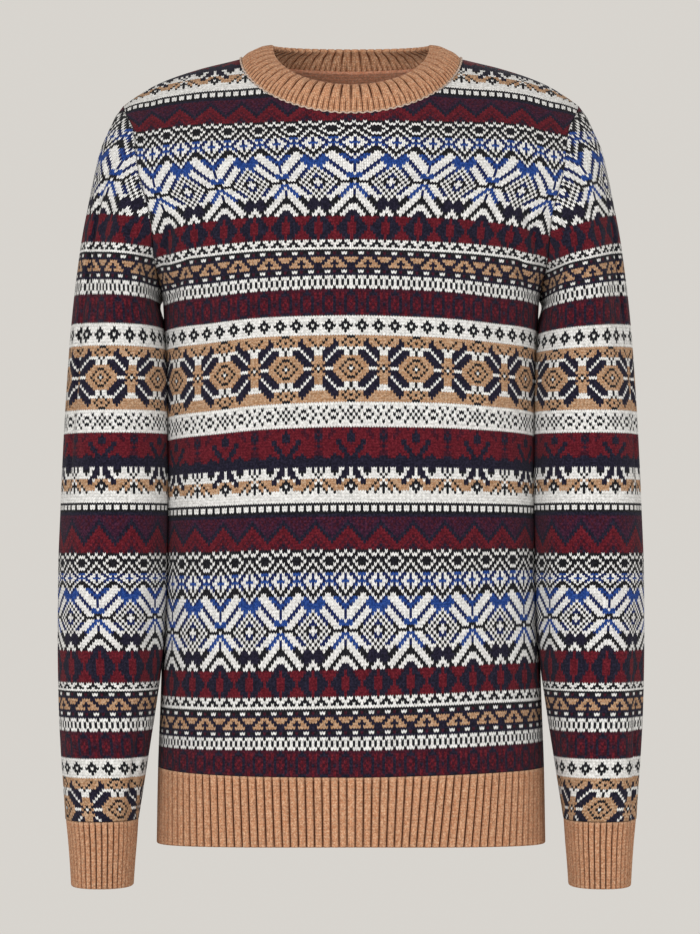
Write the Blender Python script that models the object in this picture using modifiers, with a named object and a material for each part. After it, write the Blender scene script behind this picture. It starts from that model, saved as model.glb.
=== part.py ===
"""Fair isle crew-neck jumper, hollow, held in the pose of its wearer.

Nine knitted pieces: a front and a back body panel, a hem rib under each, two sleeves, two cuffs and a
neckband. Each is an open sheet given its wall by a Solidify, a thread's width clear of its neighbours.
Metres, +Z up, the front faces -Y. The origin is at the base of the neck, level with the shoulders.
"""

import math

import bmesh
import bpy

# Driving sizes
KNIT_WALL = 0.0026
RIB_WALL = 0.0032
NECKBAND_WALL = 0.0040
SEAM_GAP = 0.0008
ARM_CLEARANCE = 0.0024  # between a sleeve and the side of the body that it hangs against
BODY_ROUNDNESS = 2.5  # exponent of the body's oval: 2 is an ellipse, more is squarer
SLEEVE_ROUNDNESS = 2.2
SHOULDER_REACH = 0.200  # depth over which the panels round over from the shoulder line to full depth

NECK_HALF_WIDTH = 0.097
NECK_FRONT_Z = -0.057
NECK_BACK_Z = -0.003
NECK_SIDE_Z = 0.003
SHOULDER_TIP_Z = -0.038
UNDERARM_Z = -0.210
HEM_RIB_TOP_Z = -0.6230
HEM_Z = -0.6840

ARMHOLE_STEPS = 9  # points from the shoulder tip to the underarm, each way round
ARMHOLE_TURN = 5  # the step where the armhole leaves the front and turns under the arm
NECK_STEPS = 6  # columns from the middle of the neckline to the shoulder's neck end
SHOULDER_STEPS = 4
LOWER_ROWS = 12
SEAM_EDGE = 0.93  # share of the underarm width where the last narrow column starts

# Body sections, from the collar down: height, half width, half width to the armhole's column,
# depth in front of the side seams, depth behind them
SECTIONS = (
    # z, half_width, armhole_x, front_depth, back_depth
    (0.060, 0.2400, 0.2000, 0.1050, 0.1200),
    (-0.038, 0.2400, 0.2000, 0.1060, 0.1200),
    (-0.065, 0.2320, 0.1890, 0.1080, 0.1200),
    (-0.100, 0.2250, 0.1840, 0.1100, 0.1190),
    (-0.139, 0.2120, 0.1735, 0.1110, 0.1180),
    (-0.167, 0.1900, 0.1672, 0.1110, 0.1160),
    (-0.190, 0.1735, 0.1630, 0.1110, 0.1130),
    (-0.210, 0.1655, 0.1600, 0.1100, 0.1100),
    (-0.250, 0.1640, 0.1580, 0.1080, 0.1060),
    (-0.350, 0.1635, 0.1575, 0.1040, 0.0950),
    (-0.450, 0.1640, 0.1580, 0.1020, 0.0890),
    (-0.550, 0.1665, 0.1605, 0.1020, 0.0940),
    (-0.623, 0.1690, 0.1630, 0.1020, 0.1000),
    (-0.684, 0.1700, 0.1640, 0.1010, 0.1020),
)
# The line along the top of the shoulders, carried on across the neck
SHOULDER_LINE = (
    # x, z
    (0.000, 0.0240),
    (0.050, 0.0187),
    (0.097, 0.0030),
    (0.133, -0.0060),
    (0.168, -0.0182),
    (0.200, -0.0380),
    (0.240, -0.0800),
)
# Sleeve rings, from the armhole to the cuff: the point over the arm, the point under it, half the depth
# front to back, how far the middle hangs forward, and how round the ring has become
SLEEVE_RINGS = (
    # outer_x, outer_z, inner_x, inner_z, half_depth, forward, roundness
    (0.2077, -0.0480, 0.1674, -0.2125, 0.0680, 0.000, 0.15),
    (0.2140, -0.0620, 0.1684, -0.2150, 0.0690, 0.000, 0.35),
    (0.2205, -0.0780, 0.1684, -0.2180, 0.0700, 0.001, 0.55),
    (0.2260, -0.1020, 0.1670, -0.2225, 0.0700, 0.002, 0.75),
    (0.2310, -0.1280, 0.1645, -0.2290, 0.0700, 0.003, 0.90),
    (0.2360, -0.1550, 0.1620, -0.2390, 0.0690, 0.004, 1.00),
    (0.2400, -0.1850, 0.1595, -0.2520, 0.0680, 0.006, 1.00),
    (0.2435, -0.2150, 0.1575, -0.2680, 0.0670, 0.008, 1.00),
    (0.2465, -0.2500, 0.1560, -0.2880, 0.0650, 0.010, 1.00),
    (0.2495, -0.2900, 0.1560, -0.3140, 0.0635, 0.013, 1.00),
    (0.2525, -0.3400, 0.1560, -0.3500, 0.0615, 0.016, 1.00),
    (0.2548, -0.3950, 0.1565, -0.3950, 0.0595, 0.020, 1.00),
    (0.2567, -0.4500, 0.1580, -0.4500, 0.0570, 0.025, 1.00),
    (0.2570, -0.5050, 0.1615, -0.5050, 0.0540, 0.031, 1.00),
    (0.2562, -0.5600, 0.1688, -0.5600, 0.0510, 0.037, 1.00),
    (0.2540, -0.6050, 0.1758, -0.6050, 0.0480, 0.042, 1.00),
    (0.2515, -0.6400, 0.1812, -0.6400, 0.0445, 0.046, 1.00),
    (0.2500, -0.6650, 0.1850, -0.6650, 0.0410, 0.049, 1.00),
)
CUFF_RINGS = (
    # outer_x, outer_z, inner_x, inner_z, half_depth, forward, roundness
    (0.2495, -0.6656, 0.1855, -0.6656, 0.0405, 0.0490, 1.00),
    (0.2475, -0.6850, 0.1870, -0.6850, 0.0385, 0.0495, 1.00),
    (0.2460, -0.7050, 0.1888, -0.7050, 0.0370, 0.0500, 1.00),
    (0.2450, -0.7230, 0.1900, -0.7230, 0.0360, 0.0505, 1.00),
)
# Neckband sections, from its seam to its rim: share of the way in, and how far it stands out from
# a straight line between the two
NECKBAND_ROWS = (
    # share, swell
    (0.00, 0.0000),
    (0.30, 0.0026),
    (0.65, 0.0030),
    (1.00, 0.0000),
)
RIM_HALF_WIDTH = 0.0700
RIM_FRONT_Y, RIM_FRONT_Z = -0.0700, -0.0290
RIM_SIDE_Z = 0.0165
RIM_BACK_Y, RIM_BACK_Z = 0.0500, 0.0215

# The largest folds of the panels: middle, half width, half length, lean (x gained per metre of drop)
# and how far in they fall
PANEL_FOLDS = {
    "front": (
        # x, z, half_width, half_length, lean, depth
        (0.146, -0.215, 0.016, 0.070, 0.10, 0.0060),
        (-0.143, -0.220, 0.017, 0.080, -0.12, 0.0065),
        (0.118, -0.460, 0.026, 0.150, 0.06, 0.0040),
        (-0.112, -0.430, 0.028, 0.170, -0.05, 0.0045),
    ),
    "back": (
        (0.138, -0.230, 0.018, 0.080, 0.12, 0.0060),
        (-0.141, -0.215, 0.016, 0.070, -0.10, 0.0055),
        (0.070, -0.430, 0.030, 0.160, -0.05, 0.0050),
        (-0.085, -0.400, 0.028, 0.140, 0.06, 0.0045),
    ),
}
# The largest folds of each sleeve: turn from the outer point (degrees, front positive) and height of
# the middle, half width and half length, and how far in they fall
SLEEVE_FOLDS = {
    "left": (
        # turn, z, half_width, half_length, depth
        (48.0, -0.190, 0.016, 0.090, 0.0045),
        (35.0, -0.560, 0.014, 0.070, 0.0040),
        (-55.0, -0.420, 0.016, 0.090, 0.0045),
    ),
    "right": (
        (62.0, -0.170, 0.015, 0.080, 0.0055),
        (95.0, -0.590, 0.014, 0.060, 0.0040),
        (-70.0, -0.330, 0.016, 0.100, 0.0045),
    ),
}

COLOURS = {
    # name: colour, roughness
    "ground_front": ((0.10, 0.03, 0.05), 0.95),
    "ground_back": ((0.09, 0.03, 0.05), 0.95),
    "ground_left": ((0.03, 0.03, 0.07), 0.95),
    "ground_right": ((0.03, 0.03, 0.08), 0.95),
    "camel_neck": ((0.52, 0.28, 0.14), 0.95),
    "camel_front_hem": ((0.50, 0.27, 0.13), 0.95),
    "camel_back_hem": ((0.49, 0.26, 0.13), 0.95),
    "camel_left_cuff": ((0.51, 0.27, 0.13), 0.95),
    "camel_right_cuff": ((0.51, 0.28, 0.13), 0.95),
}


def along(table, place):
    """Values of a table's row at a place in its first column, joined by smooth curves."""
    rows = sorted(table)
    place = min(max(place, rows[0][0]), rows[-1][0])
    i = max(k for k in range(len(rows) - 1) if rows[k][0] <= place)
    low, high = rows[i], rows[i + 1]
    before, after = rows[max(i - 1, 0)], rows[min(i + 2, len(rows) - 1)]
    span = high[0] - low[0]
    t = (place - low[0]) / span
    values = []
    for k in range(1, len(low)):
        rise = (high[k] - low[k]) / span
        back = (low[k] - before[k]) / (low[0] - before[0]) if low is not before else rise
        ahead = (after[k] - high[k]) / (after[0] - high[0]) if after is not high else rise
        start = 0.0 if back * rise <= 0 else 2 * back * rise / (back + rise)
        end = 0.0 if ahead * rise <= 0 else 2 * ahead * rise / (ahead + rise)
        values.append(
            (2 * t**3 - 3 * t**2 + 1) * low[k]
            + (t**3 - 2 * t**2 + t) * span * start
            + (3 * t**2 - 2 * t**3) * high[k]
            + (t**3 - t**2) * span * end
        )
    return values


def shoulder_z(x):
    """Height of the shoulder line at a distance from the middle."""
    return along(SHOULDER_LINE, abs(x))[0]


def panel_depth(side, x, z, oval):
    """How far a panel stands from the plane of the side seams, given its share of the oval's depth."""
    _, _, front, back = along(SECTIONS, z)
    drop = min(max(shoulder_z(x) - z, 0.0), SHOULDER_REACH) / SHOULDER_REACH
    depth = (front if side == "front" else back) * math.sqrt(1 - (1 - drop) ** 2) * oval
    for fold_x, fold_z, half_width, half_length, lean, fall in PANEL_FOLDS[side]:
        across = (x - fold_x - lean * (fold_z - z)) / half_width
        length = (z - fold_z) / half_length
        depth -= fall * math.exp(-(across**2) - length**2) * min(1.0, depth / 0.03)
    return max(depth, 0.0)


def panel_point(side, x, z, oval):
    """A point on a panel's outer face."""
    toward = -1 if side == "front" else 1
    return (x, toward * (panel_depth(side, x, z, oval) + SEAM_GAP / 2), z)


def face_point(side, share, z):
    """A point between the middle of a panel (share 0) and its armhole column (share 1 or -1)."""
    half_width, armhole_x, _, _ = along(SECTIONS, z)
    x = share * armhole_x
    oval = (1 - (abs(x) / half_width) ** BODY_ROUNDNESS) ** (1 / BODY_ROUNDNESS)
    return panel_point(side, x, z, oval)


def flank_point(side, share, z):
    """A point between the armhole column (share 0) and the side seam (share 1), under the arm."""
    half_width, armhole_x, _, _ = along(SECTIONS, z)
    start = math.asin((armhole_x / half_width) ** (BODY_ROUNDNESS / 2))
    turn = start + (math.pi / 2 - start) * share
    x = half_width * math.sin(turn) ** (2 / BODY_ROUNDNESS)
    oval = max(math.cos(turn), 0.0) ** (2 / BODY_ROUNDNESS) if share < 1 else 0.0
    return panel_point(side, x, z, oval)


def armhole_z(step):
    """Height of the armhole at a step from the shoulder tip."""
    middle = (SHOULDER_TIP_Z + UNDERARM_Z) / 2
    return middle + (SHOULDER_TIP_Z - middle) * math.cos(math.pi * step / ARMHOLE_STEPS)


def flank_top(share):
    """Height of the armhole over a share of the underarm width."""
    rise = 1 - math.sqrt(1 - (1 - share) ** 2)
    return UNDERARM_Z + (armhole_z(ARMHOLE_TURN) - UNDERARM_Z) * rise


def flank_share(step):
    """Share of the underarm width where the armhole passes a step."""
    rise = (armhole_z(step) - UNDERARM_Z) / (armhole_z(ARMHOLE_TURN) - UNDERARM_Z)
    return 1 - math.sqrt(max(1 - (1 - rise) ** 2, 0.0))


def armhole_point(side, step):
    """A point on the armhole's edge, for the wearer's left arm."""
    if step <= ARMHOLE_TURN:
        return face_point(side, 1.0, armhole_z(step))
    return flank_point(side, flank_share(step), armhole_z(step))


def neckline_z(side, turn):
    """Height of the neckline, at a turn from its middle towards the shoulder."""
    middle = NECK_FRONT_Z if side == "front" else NECK_BACK_Z
    return middle + (NECK_SIDE_Z - middle) * (1 - math.cos(turn))


def column_tops(side):
    """Each column's share of the panel's width and the height of its top, from the middle out."""
    tops = []
    for step in range(NECK_STEPS + 1):
        turn = math.pi / 2 * step / NECK_STEPS
        z = neckline_z(side, turn)
        tops.append((NECK_HALF_WIDTH * math.sin(turn) / along(SECTIONS, z)[1], z))
    shoulder_tip = along(SECTIONS, SHOULDER_TIP_Z)[1]
    for step in range(1, SHOULDER_STEPS + 1):
        x = NECK_HALF_WIDTH + (shoulder_tip - NECK_HALF_WIDTH) * step / SHOULDER_STEPS
        tops.append((x / shoulder_tip, shoulder_z(x)))
    return tops


def lower_rows(turn_z):
    """Heights of the rows from the hem rib up to the armhole's turn."""
    rise = turn_z - HEM_RIB_TOP_Z
    return [HEM_RIB_TOP_Z + rise * i / LOWER_ROWS for i in range(LOWER_ROWS + 1)]


def half_panel(side):
    """Columns of points from the middle of a panel to its side seam, each from the hem rib up."""
    turn_z = armhole_z(ARMHOLE_TURN)
    climb = [
        (armhole_z(step) - turn_z) / (SHOULDER_TIP_Z - turn_z)
        for step in range(ARMHOLE_TURN - 1, 0, -1)
    ]
    columns = []
    for index, (share, top) in enumerate(column_tops(side)):
        edge = 0.0003 if index >= NECK_STEPS else 0.0040
        heights = lower_rows(turn_z) + [turn_z + (top - turn_z) * part for part in climb]
        heights += [top - edge, top]
        columns.append([face_point(side, share, z) for z in heights])
    shares = [flank_share(step) for step in range(ARMHOLE_TURN + 1, ARMHOLE_STEPS)] + [SEAM_EDGE, 1.0]
    for share in shares:
        top = flank_top(share)
        heights = [
            HEM_RIB_TOP_Z + (top - HEM_RIB_TOP_Z) * (z - HEM_RIB_TOP_Z) / (turn_z - HEM_RIB_TOP_Z)
            for z in lower_rows(turn_z)
        ]
        columns.append([flank_point(side, share, z) for z in heights])
    return columns


def hem_columns(side):
    """Columns of points of a hem rib, from the middle to the side seam."""
    rows = (HEM_RIB_TOP_Z - SEAM_GAP / 2, -0.6430, -0.6640, HEM_Z)
    columns = [[face_point(side, share, z) for z in rows] for share, _ in column_tops(side)]
    shares = [flank_share(step) for step in range(ARMHOLE_TURN + 1, ARMHOLE_STEPS)] + [SEAM_EDGE, 1.0]
    return columns + [[flank_point(side, share, z) for z in rows] for share in shares]


def both_halves(columns):
    """The columns of a whole panel, given those from its middle to one side."""
    mirrored = [[(-x, y, z) for x, y, z in column] for column in columns[:0:-1]]
    return mirrored + columns


def sleeve_ring(arm, ring):
    """Points round one ring of a sleeve, from the outer point by the front to the inner and back."""
    outer_x, outer_z, inner_x, inner_z, half_depth, forward, roundness = ring
    tip, pit = armhole_point("front", 0), armhole_point("front", ARMHOLE_STEPS)
    chord = (pit[0] - tip[0], pit[2] - tip[2])
    length = math.hypot(*chord)
    points = []
    for step in range(2 * ARMHOLE_STEPS):
        side, near = ("front", step) if step <= ARMHOLE_STEPS else ("back", 2 * ARMHOLE_STEPS - step)
        edge = armhole_point(side, near)
        turn = math.pi * step / ARMHOLE_STEPS
        # The ring keeps the armhole's outline at first, then turns into an oval of its own
        hole = ((edge[0] - tip[0]) * chord[0] + (edge[2] - tip[2]) * chord[1]) / length**2
        bow = ((edge[0] - tip[0]) * chord[1] - (edge[2] - tip[2]) * chord[0]) / length
        round_down = abs(math.cos(turn)) ** (2 / SLEEVE_ROUNDNESS) * math.copysign(1, math.cos(turn))
        round_out = abs(math.sin(turn)) ** (2 / SLEEVE_ROUNDNESS) * math.copysign(1, math.sin(turn))
        down = hole + ((1 - round_down) / 2 - hole) * roundness
        y = edge[1] + (-half_depth * round_out - edge[1]) * roundness - forward
        bow *= 1 - roundness
        x = outer_x + (inner_x - outer_x) * down + bow * chord[1] / length
        z = outer_z + (inner_z - outer_z) * down - bow * chord[0] / length
        points.append([x, y, z])
    middle_x, middle_y = (outer_x + inner_x) / 2, -forward
    for fold_turn, fold_z, half_width, half_length, fall in SLEEVE_FOLDS[arm]:
        for step, point in enumerate(points):
            turn = math.degrees(2 * math.pi * step / len(points))
            apart = math.radians((turn - fold_turn + 180) % 360 - 180) * half_depth
            push = fall * math.exp(-((apart / half_width) ** 2) - ((point[2] - fold_z) / half_length) ** 2)
            away = math.hypot(point[0] - middle_x, point[1] - middle_y)
            point[0] += (middle_x - point[0]) * push / away
            point[1] += (middle_y - point[1]) * push / away
    for point in points:
        point[0] = max(point[0], flank_x(point[1], point[2]) + ARM_CLEARANCE)
    return points


def flank_x(y, z):
    """How far out the body's side reaches, level with a point under the arm."""
    if z > UNDERARM_Z:
        return 0.0
    half_width, _, front, back = along(SECTIONS, z)
    depth = abs(y) / (front if y < 0 else back)
    return half_width * max(1 - depth**BODY_ROUNDNESS, 0.0) ** (1 / BODY_ROUNDNESS)


def sleeve_start(arm):
    """The sleeve's first ring: the armhole moved a little out along the arm, more over the shoulder."""
    points = []
    for step in range(2 * ARMHOLE_STEPS):
        side, near = ("front", step) if step <= ARMHOLE_STEPS else ("back", 2 * ARMHOLE_STEPS - step)
        x, y, z = armhole_point(side, near)
        over = (1 + math.cos(math.pi * step / ARMHOLE_STEPS)) / 2
        points.append([x + 0.0010 + 0.0004 * over, y, z - 0.0006 * over])
    return points


def neckband_row(share, swell):
    """Points round one row of the neckband, from the middle of the front by the left shoulder."""
    count = 4 * NECK_STEPS
    points = []
    for step in range(count):
        turn = 2 * math.pi * step / count
        side = "front" if math.cos(turn) > 0 or step == NECK_STEPS else "back"
        seam_z = neckline_z(side, math.asin(min(abs(math.sin(turn)), 1.0)))
        seam_x = NECK_HALF_WIDTH * math.sin(turn)
        half_width = along(SECTIONS, seam_z)[0]
        oval = (1 - (abs(seam_x) / half_width) ** BODY_ROUNDNESS) ** (1 / BODY_ROUNDNESS)
        seam_y = panel_depth(side, seam_x, seam_z, oval) * (-1 if math.cos(turn) > 0 else 1)
        rim_y, rim_z = (RIM_FRONT_Y, RIM_FRONT_Z) if math.cos(turn) > 0 else (RIM_BACK_Y, RIM_BACK_Z)
        rim = (
            RIM_HALF_WIDTH * math.sin(turn),
            rim_y * abs(math.cos(turn)),
            RIM_SIDE_Z + (rim_z - RIM_SIDE_Z) * abs(math.cos(turn)) ** 1.5,
        )
        seam = (seam_x * 0.992, seam_y * 0.992, seam_z + 0.0007)
        outward = (math.sin(turn) * 0.6, -math.cos(turn) * 0.6, 0.8)
        points.append(
            [a + (b - a) * share + out * swell for a, b, out in zip(seam, rim, outward)]
        )
    return points


def fabric(name):
    """A cloth material of its own for one piece."""
    colour, roughness = COLOURS[name]
    material = bpy.data.materials.new(name)
    material.use_nodes = True
    shader = material.node_tree.nodes["Principled BSDF"]
    shader.inputs["Base Color"].default_value = (*colour, 1.0)
    shader.inputs["Roughness"].default_value = roughness
    return material


def sheet(name, lines, closed, wall, colour, collection):
    """A walled sheet through lines of points, faces outward: columns of a panel or rings of a tube."""
    mesh = bpy.data.meshes.new(name)
    shape = bmesh.new()
    grid = [[shape.verts.new(point) for point in line] for line in lines]
    for first, second in zip(grid, grid[1:]):
        count = min(len(first), len(second))
        for i in range(count if closed else count - 1):
            j = (i + 1) % count
            shape.faces.new((first[i], second[i], second[j], first[j]))
    shape.normal_update()
    outward = sum(
        face.normal.dot(face.calc_center_median() - centre_near(face.calc_center_median(), name))
        * face.calc_area()
        for face in shape.faces
    )
    if outward < 0:
        bmesh.ops.reverse_faces(shape, faces=shape.faces)
    for face in shape.faces:
        face.smooth = True
    shape.to_mesh(mesh)
    shape.free()
    piece = bpy.data.objects.new(name, mesh)
    collection.objects.link(piece)
    mesh.materials.append(fabric(colour))
    solidify = piece.modifiers.new("Wall", "SOLIDIFY")
    solidify.thickness = wall
    solidify.offset = -1.0
    solidify.use_even_offset = False
    return piece


def centre_near(point, name):
    """The middle of the hollow level with a point: the arm's for a sleeve or cuff, else the body's."""
    centre = point.copy()
    if "sleeve" in name or "cuff" in name:
        centre.x, centre.y = math.copysign(0.213, point.x), -0.02
    else:
        centre.x, centre.y = 0.0, 0.0
    if "panel" in name or name == "neckband":
        centre.z = min(point.z, -0.10)
    return centre


def main():
    for item in list(bpy.data.objects):
        bpy.data.objects.remove(item, do_unlink=True)
    jumper = bpy.data.collections.new("fair_isle_jumper")
    bpy.context.scene.collection.children.link(jumper)
    bpy.context.scene.unit_settings.system = "METRIC"

    for side in ("front", "back"):
        panel = both_halves(half_panel(side))
        sheet(f"{side}_panel", panel, False, KNIT_WALL, f"ground_{side}", jumper)
        rib = both_halves(hem_columns(side))
        sheet(f"{side}_hem_rib", rib, False, RIB_WALL, f"camel_{side}_hem", jumper)

    for arm, hand in (("left", 1), ("right", -1)):
        rings = [sleeve_start(arm)] + [sleeve_ring(arm, ring) for ring in SLEEVE_RINGS]
        cuff = [sleeve_ring(arm, ring) for ring in CUFF_RINGS]
        for name, tube, wall, colour in (
            (f"{arm}_sleeve", rings, KNIT_WALL, f"ground_{arm}"),
            (f"{arm}_cuff", cuff, RIB_WALL, f"camel_{arm}_cuff"),
        ):
            placed = [[(hand * x, y, z) for x, y, z in ring] for ring in tube]
            sheet(name, placed, True, wall, colour, jumper)

    band = [neckband_row(share, swell) for share, swell in NECKBAND_ROWS]
    sheet("neckband", band, True, NECKBAND_WALL, "camel_neck", jumper)


main()
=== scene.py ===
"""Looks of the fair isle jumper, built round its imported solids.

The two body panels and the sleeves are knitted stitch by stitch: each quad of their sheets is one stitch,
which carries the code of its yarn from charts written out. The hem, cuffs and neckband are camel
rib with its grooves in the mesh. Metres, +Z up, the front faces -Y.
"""

from __future__ import annotations

import logging
import math
from collections.abc import Callable
from dataclasses import dataclass
from enum import Enum

import bpy
import numpy as np
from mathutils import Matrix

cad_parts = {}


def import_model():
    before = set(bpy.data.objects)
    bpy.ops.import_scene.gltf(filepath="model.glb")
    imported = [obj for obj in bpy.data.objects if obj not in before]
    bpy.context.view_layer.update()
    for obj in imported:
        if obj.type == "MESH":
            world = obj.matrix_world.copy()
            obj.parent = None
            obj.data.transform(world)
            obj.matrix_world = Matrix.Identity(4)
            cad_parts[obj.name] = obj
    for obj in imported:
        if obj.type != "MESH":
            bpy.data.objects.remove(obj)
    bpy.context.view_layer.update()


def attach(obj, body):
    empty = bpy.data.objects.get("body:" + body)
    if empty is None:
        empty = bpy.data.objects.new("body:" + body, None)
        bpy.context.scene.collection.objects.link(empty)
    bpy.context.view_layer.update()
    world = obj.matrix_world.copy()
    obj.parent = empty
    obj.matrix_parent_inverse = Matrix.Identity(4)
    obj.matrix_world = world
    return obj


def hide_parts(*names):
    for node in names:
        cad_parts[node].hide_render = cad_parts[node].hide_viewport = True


Array = np.ndarray
Rows = tuple[tuple[float, ...], ...]
Triple = tuple[float, float, float]
Shape = Callable[[Array, Array], Array]
LOG = logging.getLogger("jumper")

BODY = "root"
SEAM_GAP = 0.0004
STITCH = 0.002344  # from one column of stitches to the next
COURSE = 0.00255  # from one row of stitches to the next, above the last band that has a stated height
WELD = 0.00001
STITCH_MAP = "Stitches"
BAKE_MAP = "OFBake"
ACROSS = np.linspace(-np.pi / 2, np.pi / 2, 361)  # turns across a panel, from seam to seam
RIB_FADE = ((0.0, 0.55), (0.08, 1.0), (0.9, 1.0), (1.0, 0.8))  # of a rib's groove, from the seam down


class Side(Enum):
    """The two body panels."""

    FRONT = "front"
    BACK = "back"

    @property
    def toward(self) -> int:
        """The way the panel faces along Y."""
        return -1 if self is Side.FRONT else 1


class Arm(Enum):
    """The two sleeves, by the wearer's hand."""

    LEFT = "left"
    RIGHT = "right"

    @property
    def hand(self) -> int:
        """The way the arm lies along X."""
        return 1 if self is Arm.LEFT else -1


class Yarn(Enum):
    """The yarns, by their letter in the charts: base colour and fleck colour, linear."""

    W = ((0.880, 0.878, 0.865), (0.730, 0.715, 0.690))
    K = ((0.0055, 0.0055, 0.0075), (0.0200, 0.0200, 0.0260))
    N = ((0.0080, 0.0072, 0.0180), (0.0230, 0.0200, 0.0420))
    U = ((0.0060, 0.0110, 0.0620), (0.0150, 0.0280, 0.1300))
    B = ((0.0098, 0.0410, 0.2050), (0.0310, 0.0850, 0.3350))
    R = ((0.0880, 0.0052, 0.0125), (0.1660, 0.0155, 0.0250))
    M = ((0.0360, 0.0048, 0.0125), (0.0860, 0.0130, 0.0270))
    P = ((0.0260, 0.0065, 0.0215), (0.0720, 0.0170, 0.0415))
    T = ((0.4050, 0.2170, 0.1110), (0.5950, 0.4050, 0.2650))

    @property
    def code(self) -> int:
        """The yarn's number on the palette."""
        return list(Yarn).index(self)


@dataclass(frozen=True)
class Band:
    """One band of the pattern.

    Attributes:
        rows: The chart, top row first, one letter a stitch.
        axis: The column, counted from the middle of the garment, that the chart starts from.
        mirrored: Whether the chart is half of a repeat that turns back on itself.
    """

    rows: tuple[str, ...]
    axis: int = -2
    mirrored: bool = True

    def codes(self, columns: Array) -> Array:
        """Yarn codes of the band's rows, bottom row first.

        Args:
            columns: Column numbers, counted from the middle of the garment.

        Returns:
            Codes, one line for each row of the band.
        """
        width = len(self.rows[0])
        repeat = 2 * (width - 1) if self.mirrored else width
        place = (columns - self.axis) % repeat
        if self.mirrored:
            place = np.minimum(place, repeat - place)
        lines = [[Yarn[letter].code for letter in row] for row in reversed(self.rows)]
        return np.array(lines)[:, place]


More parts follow.
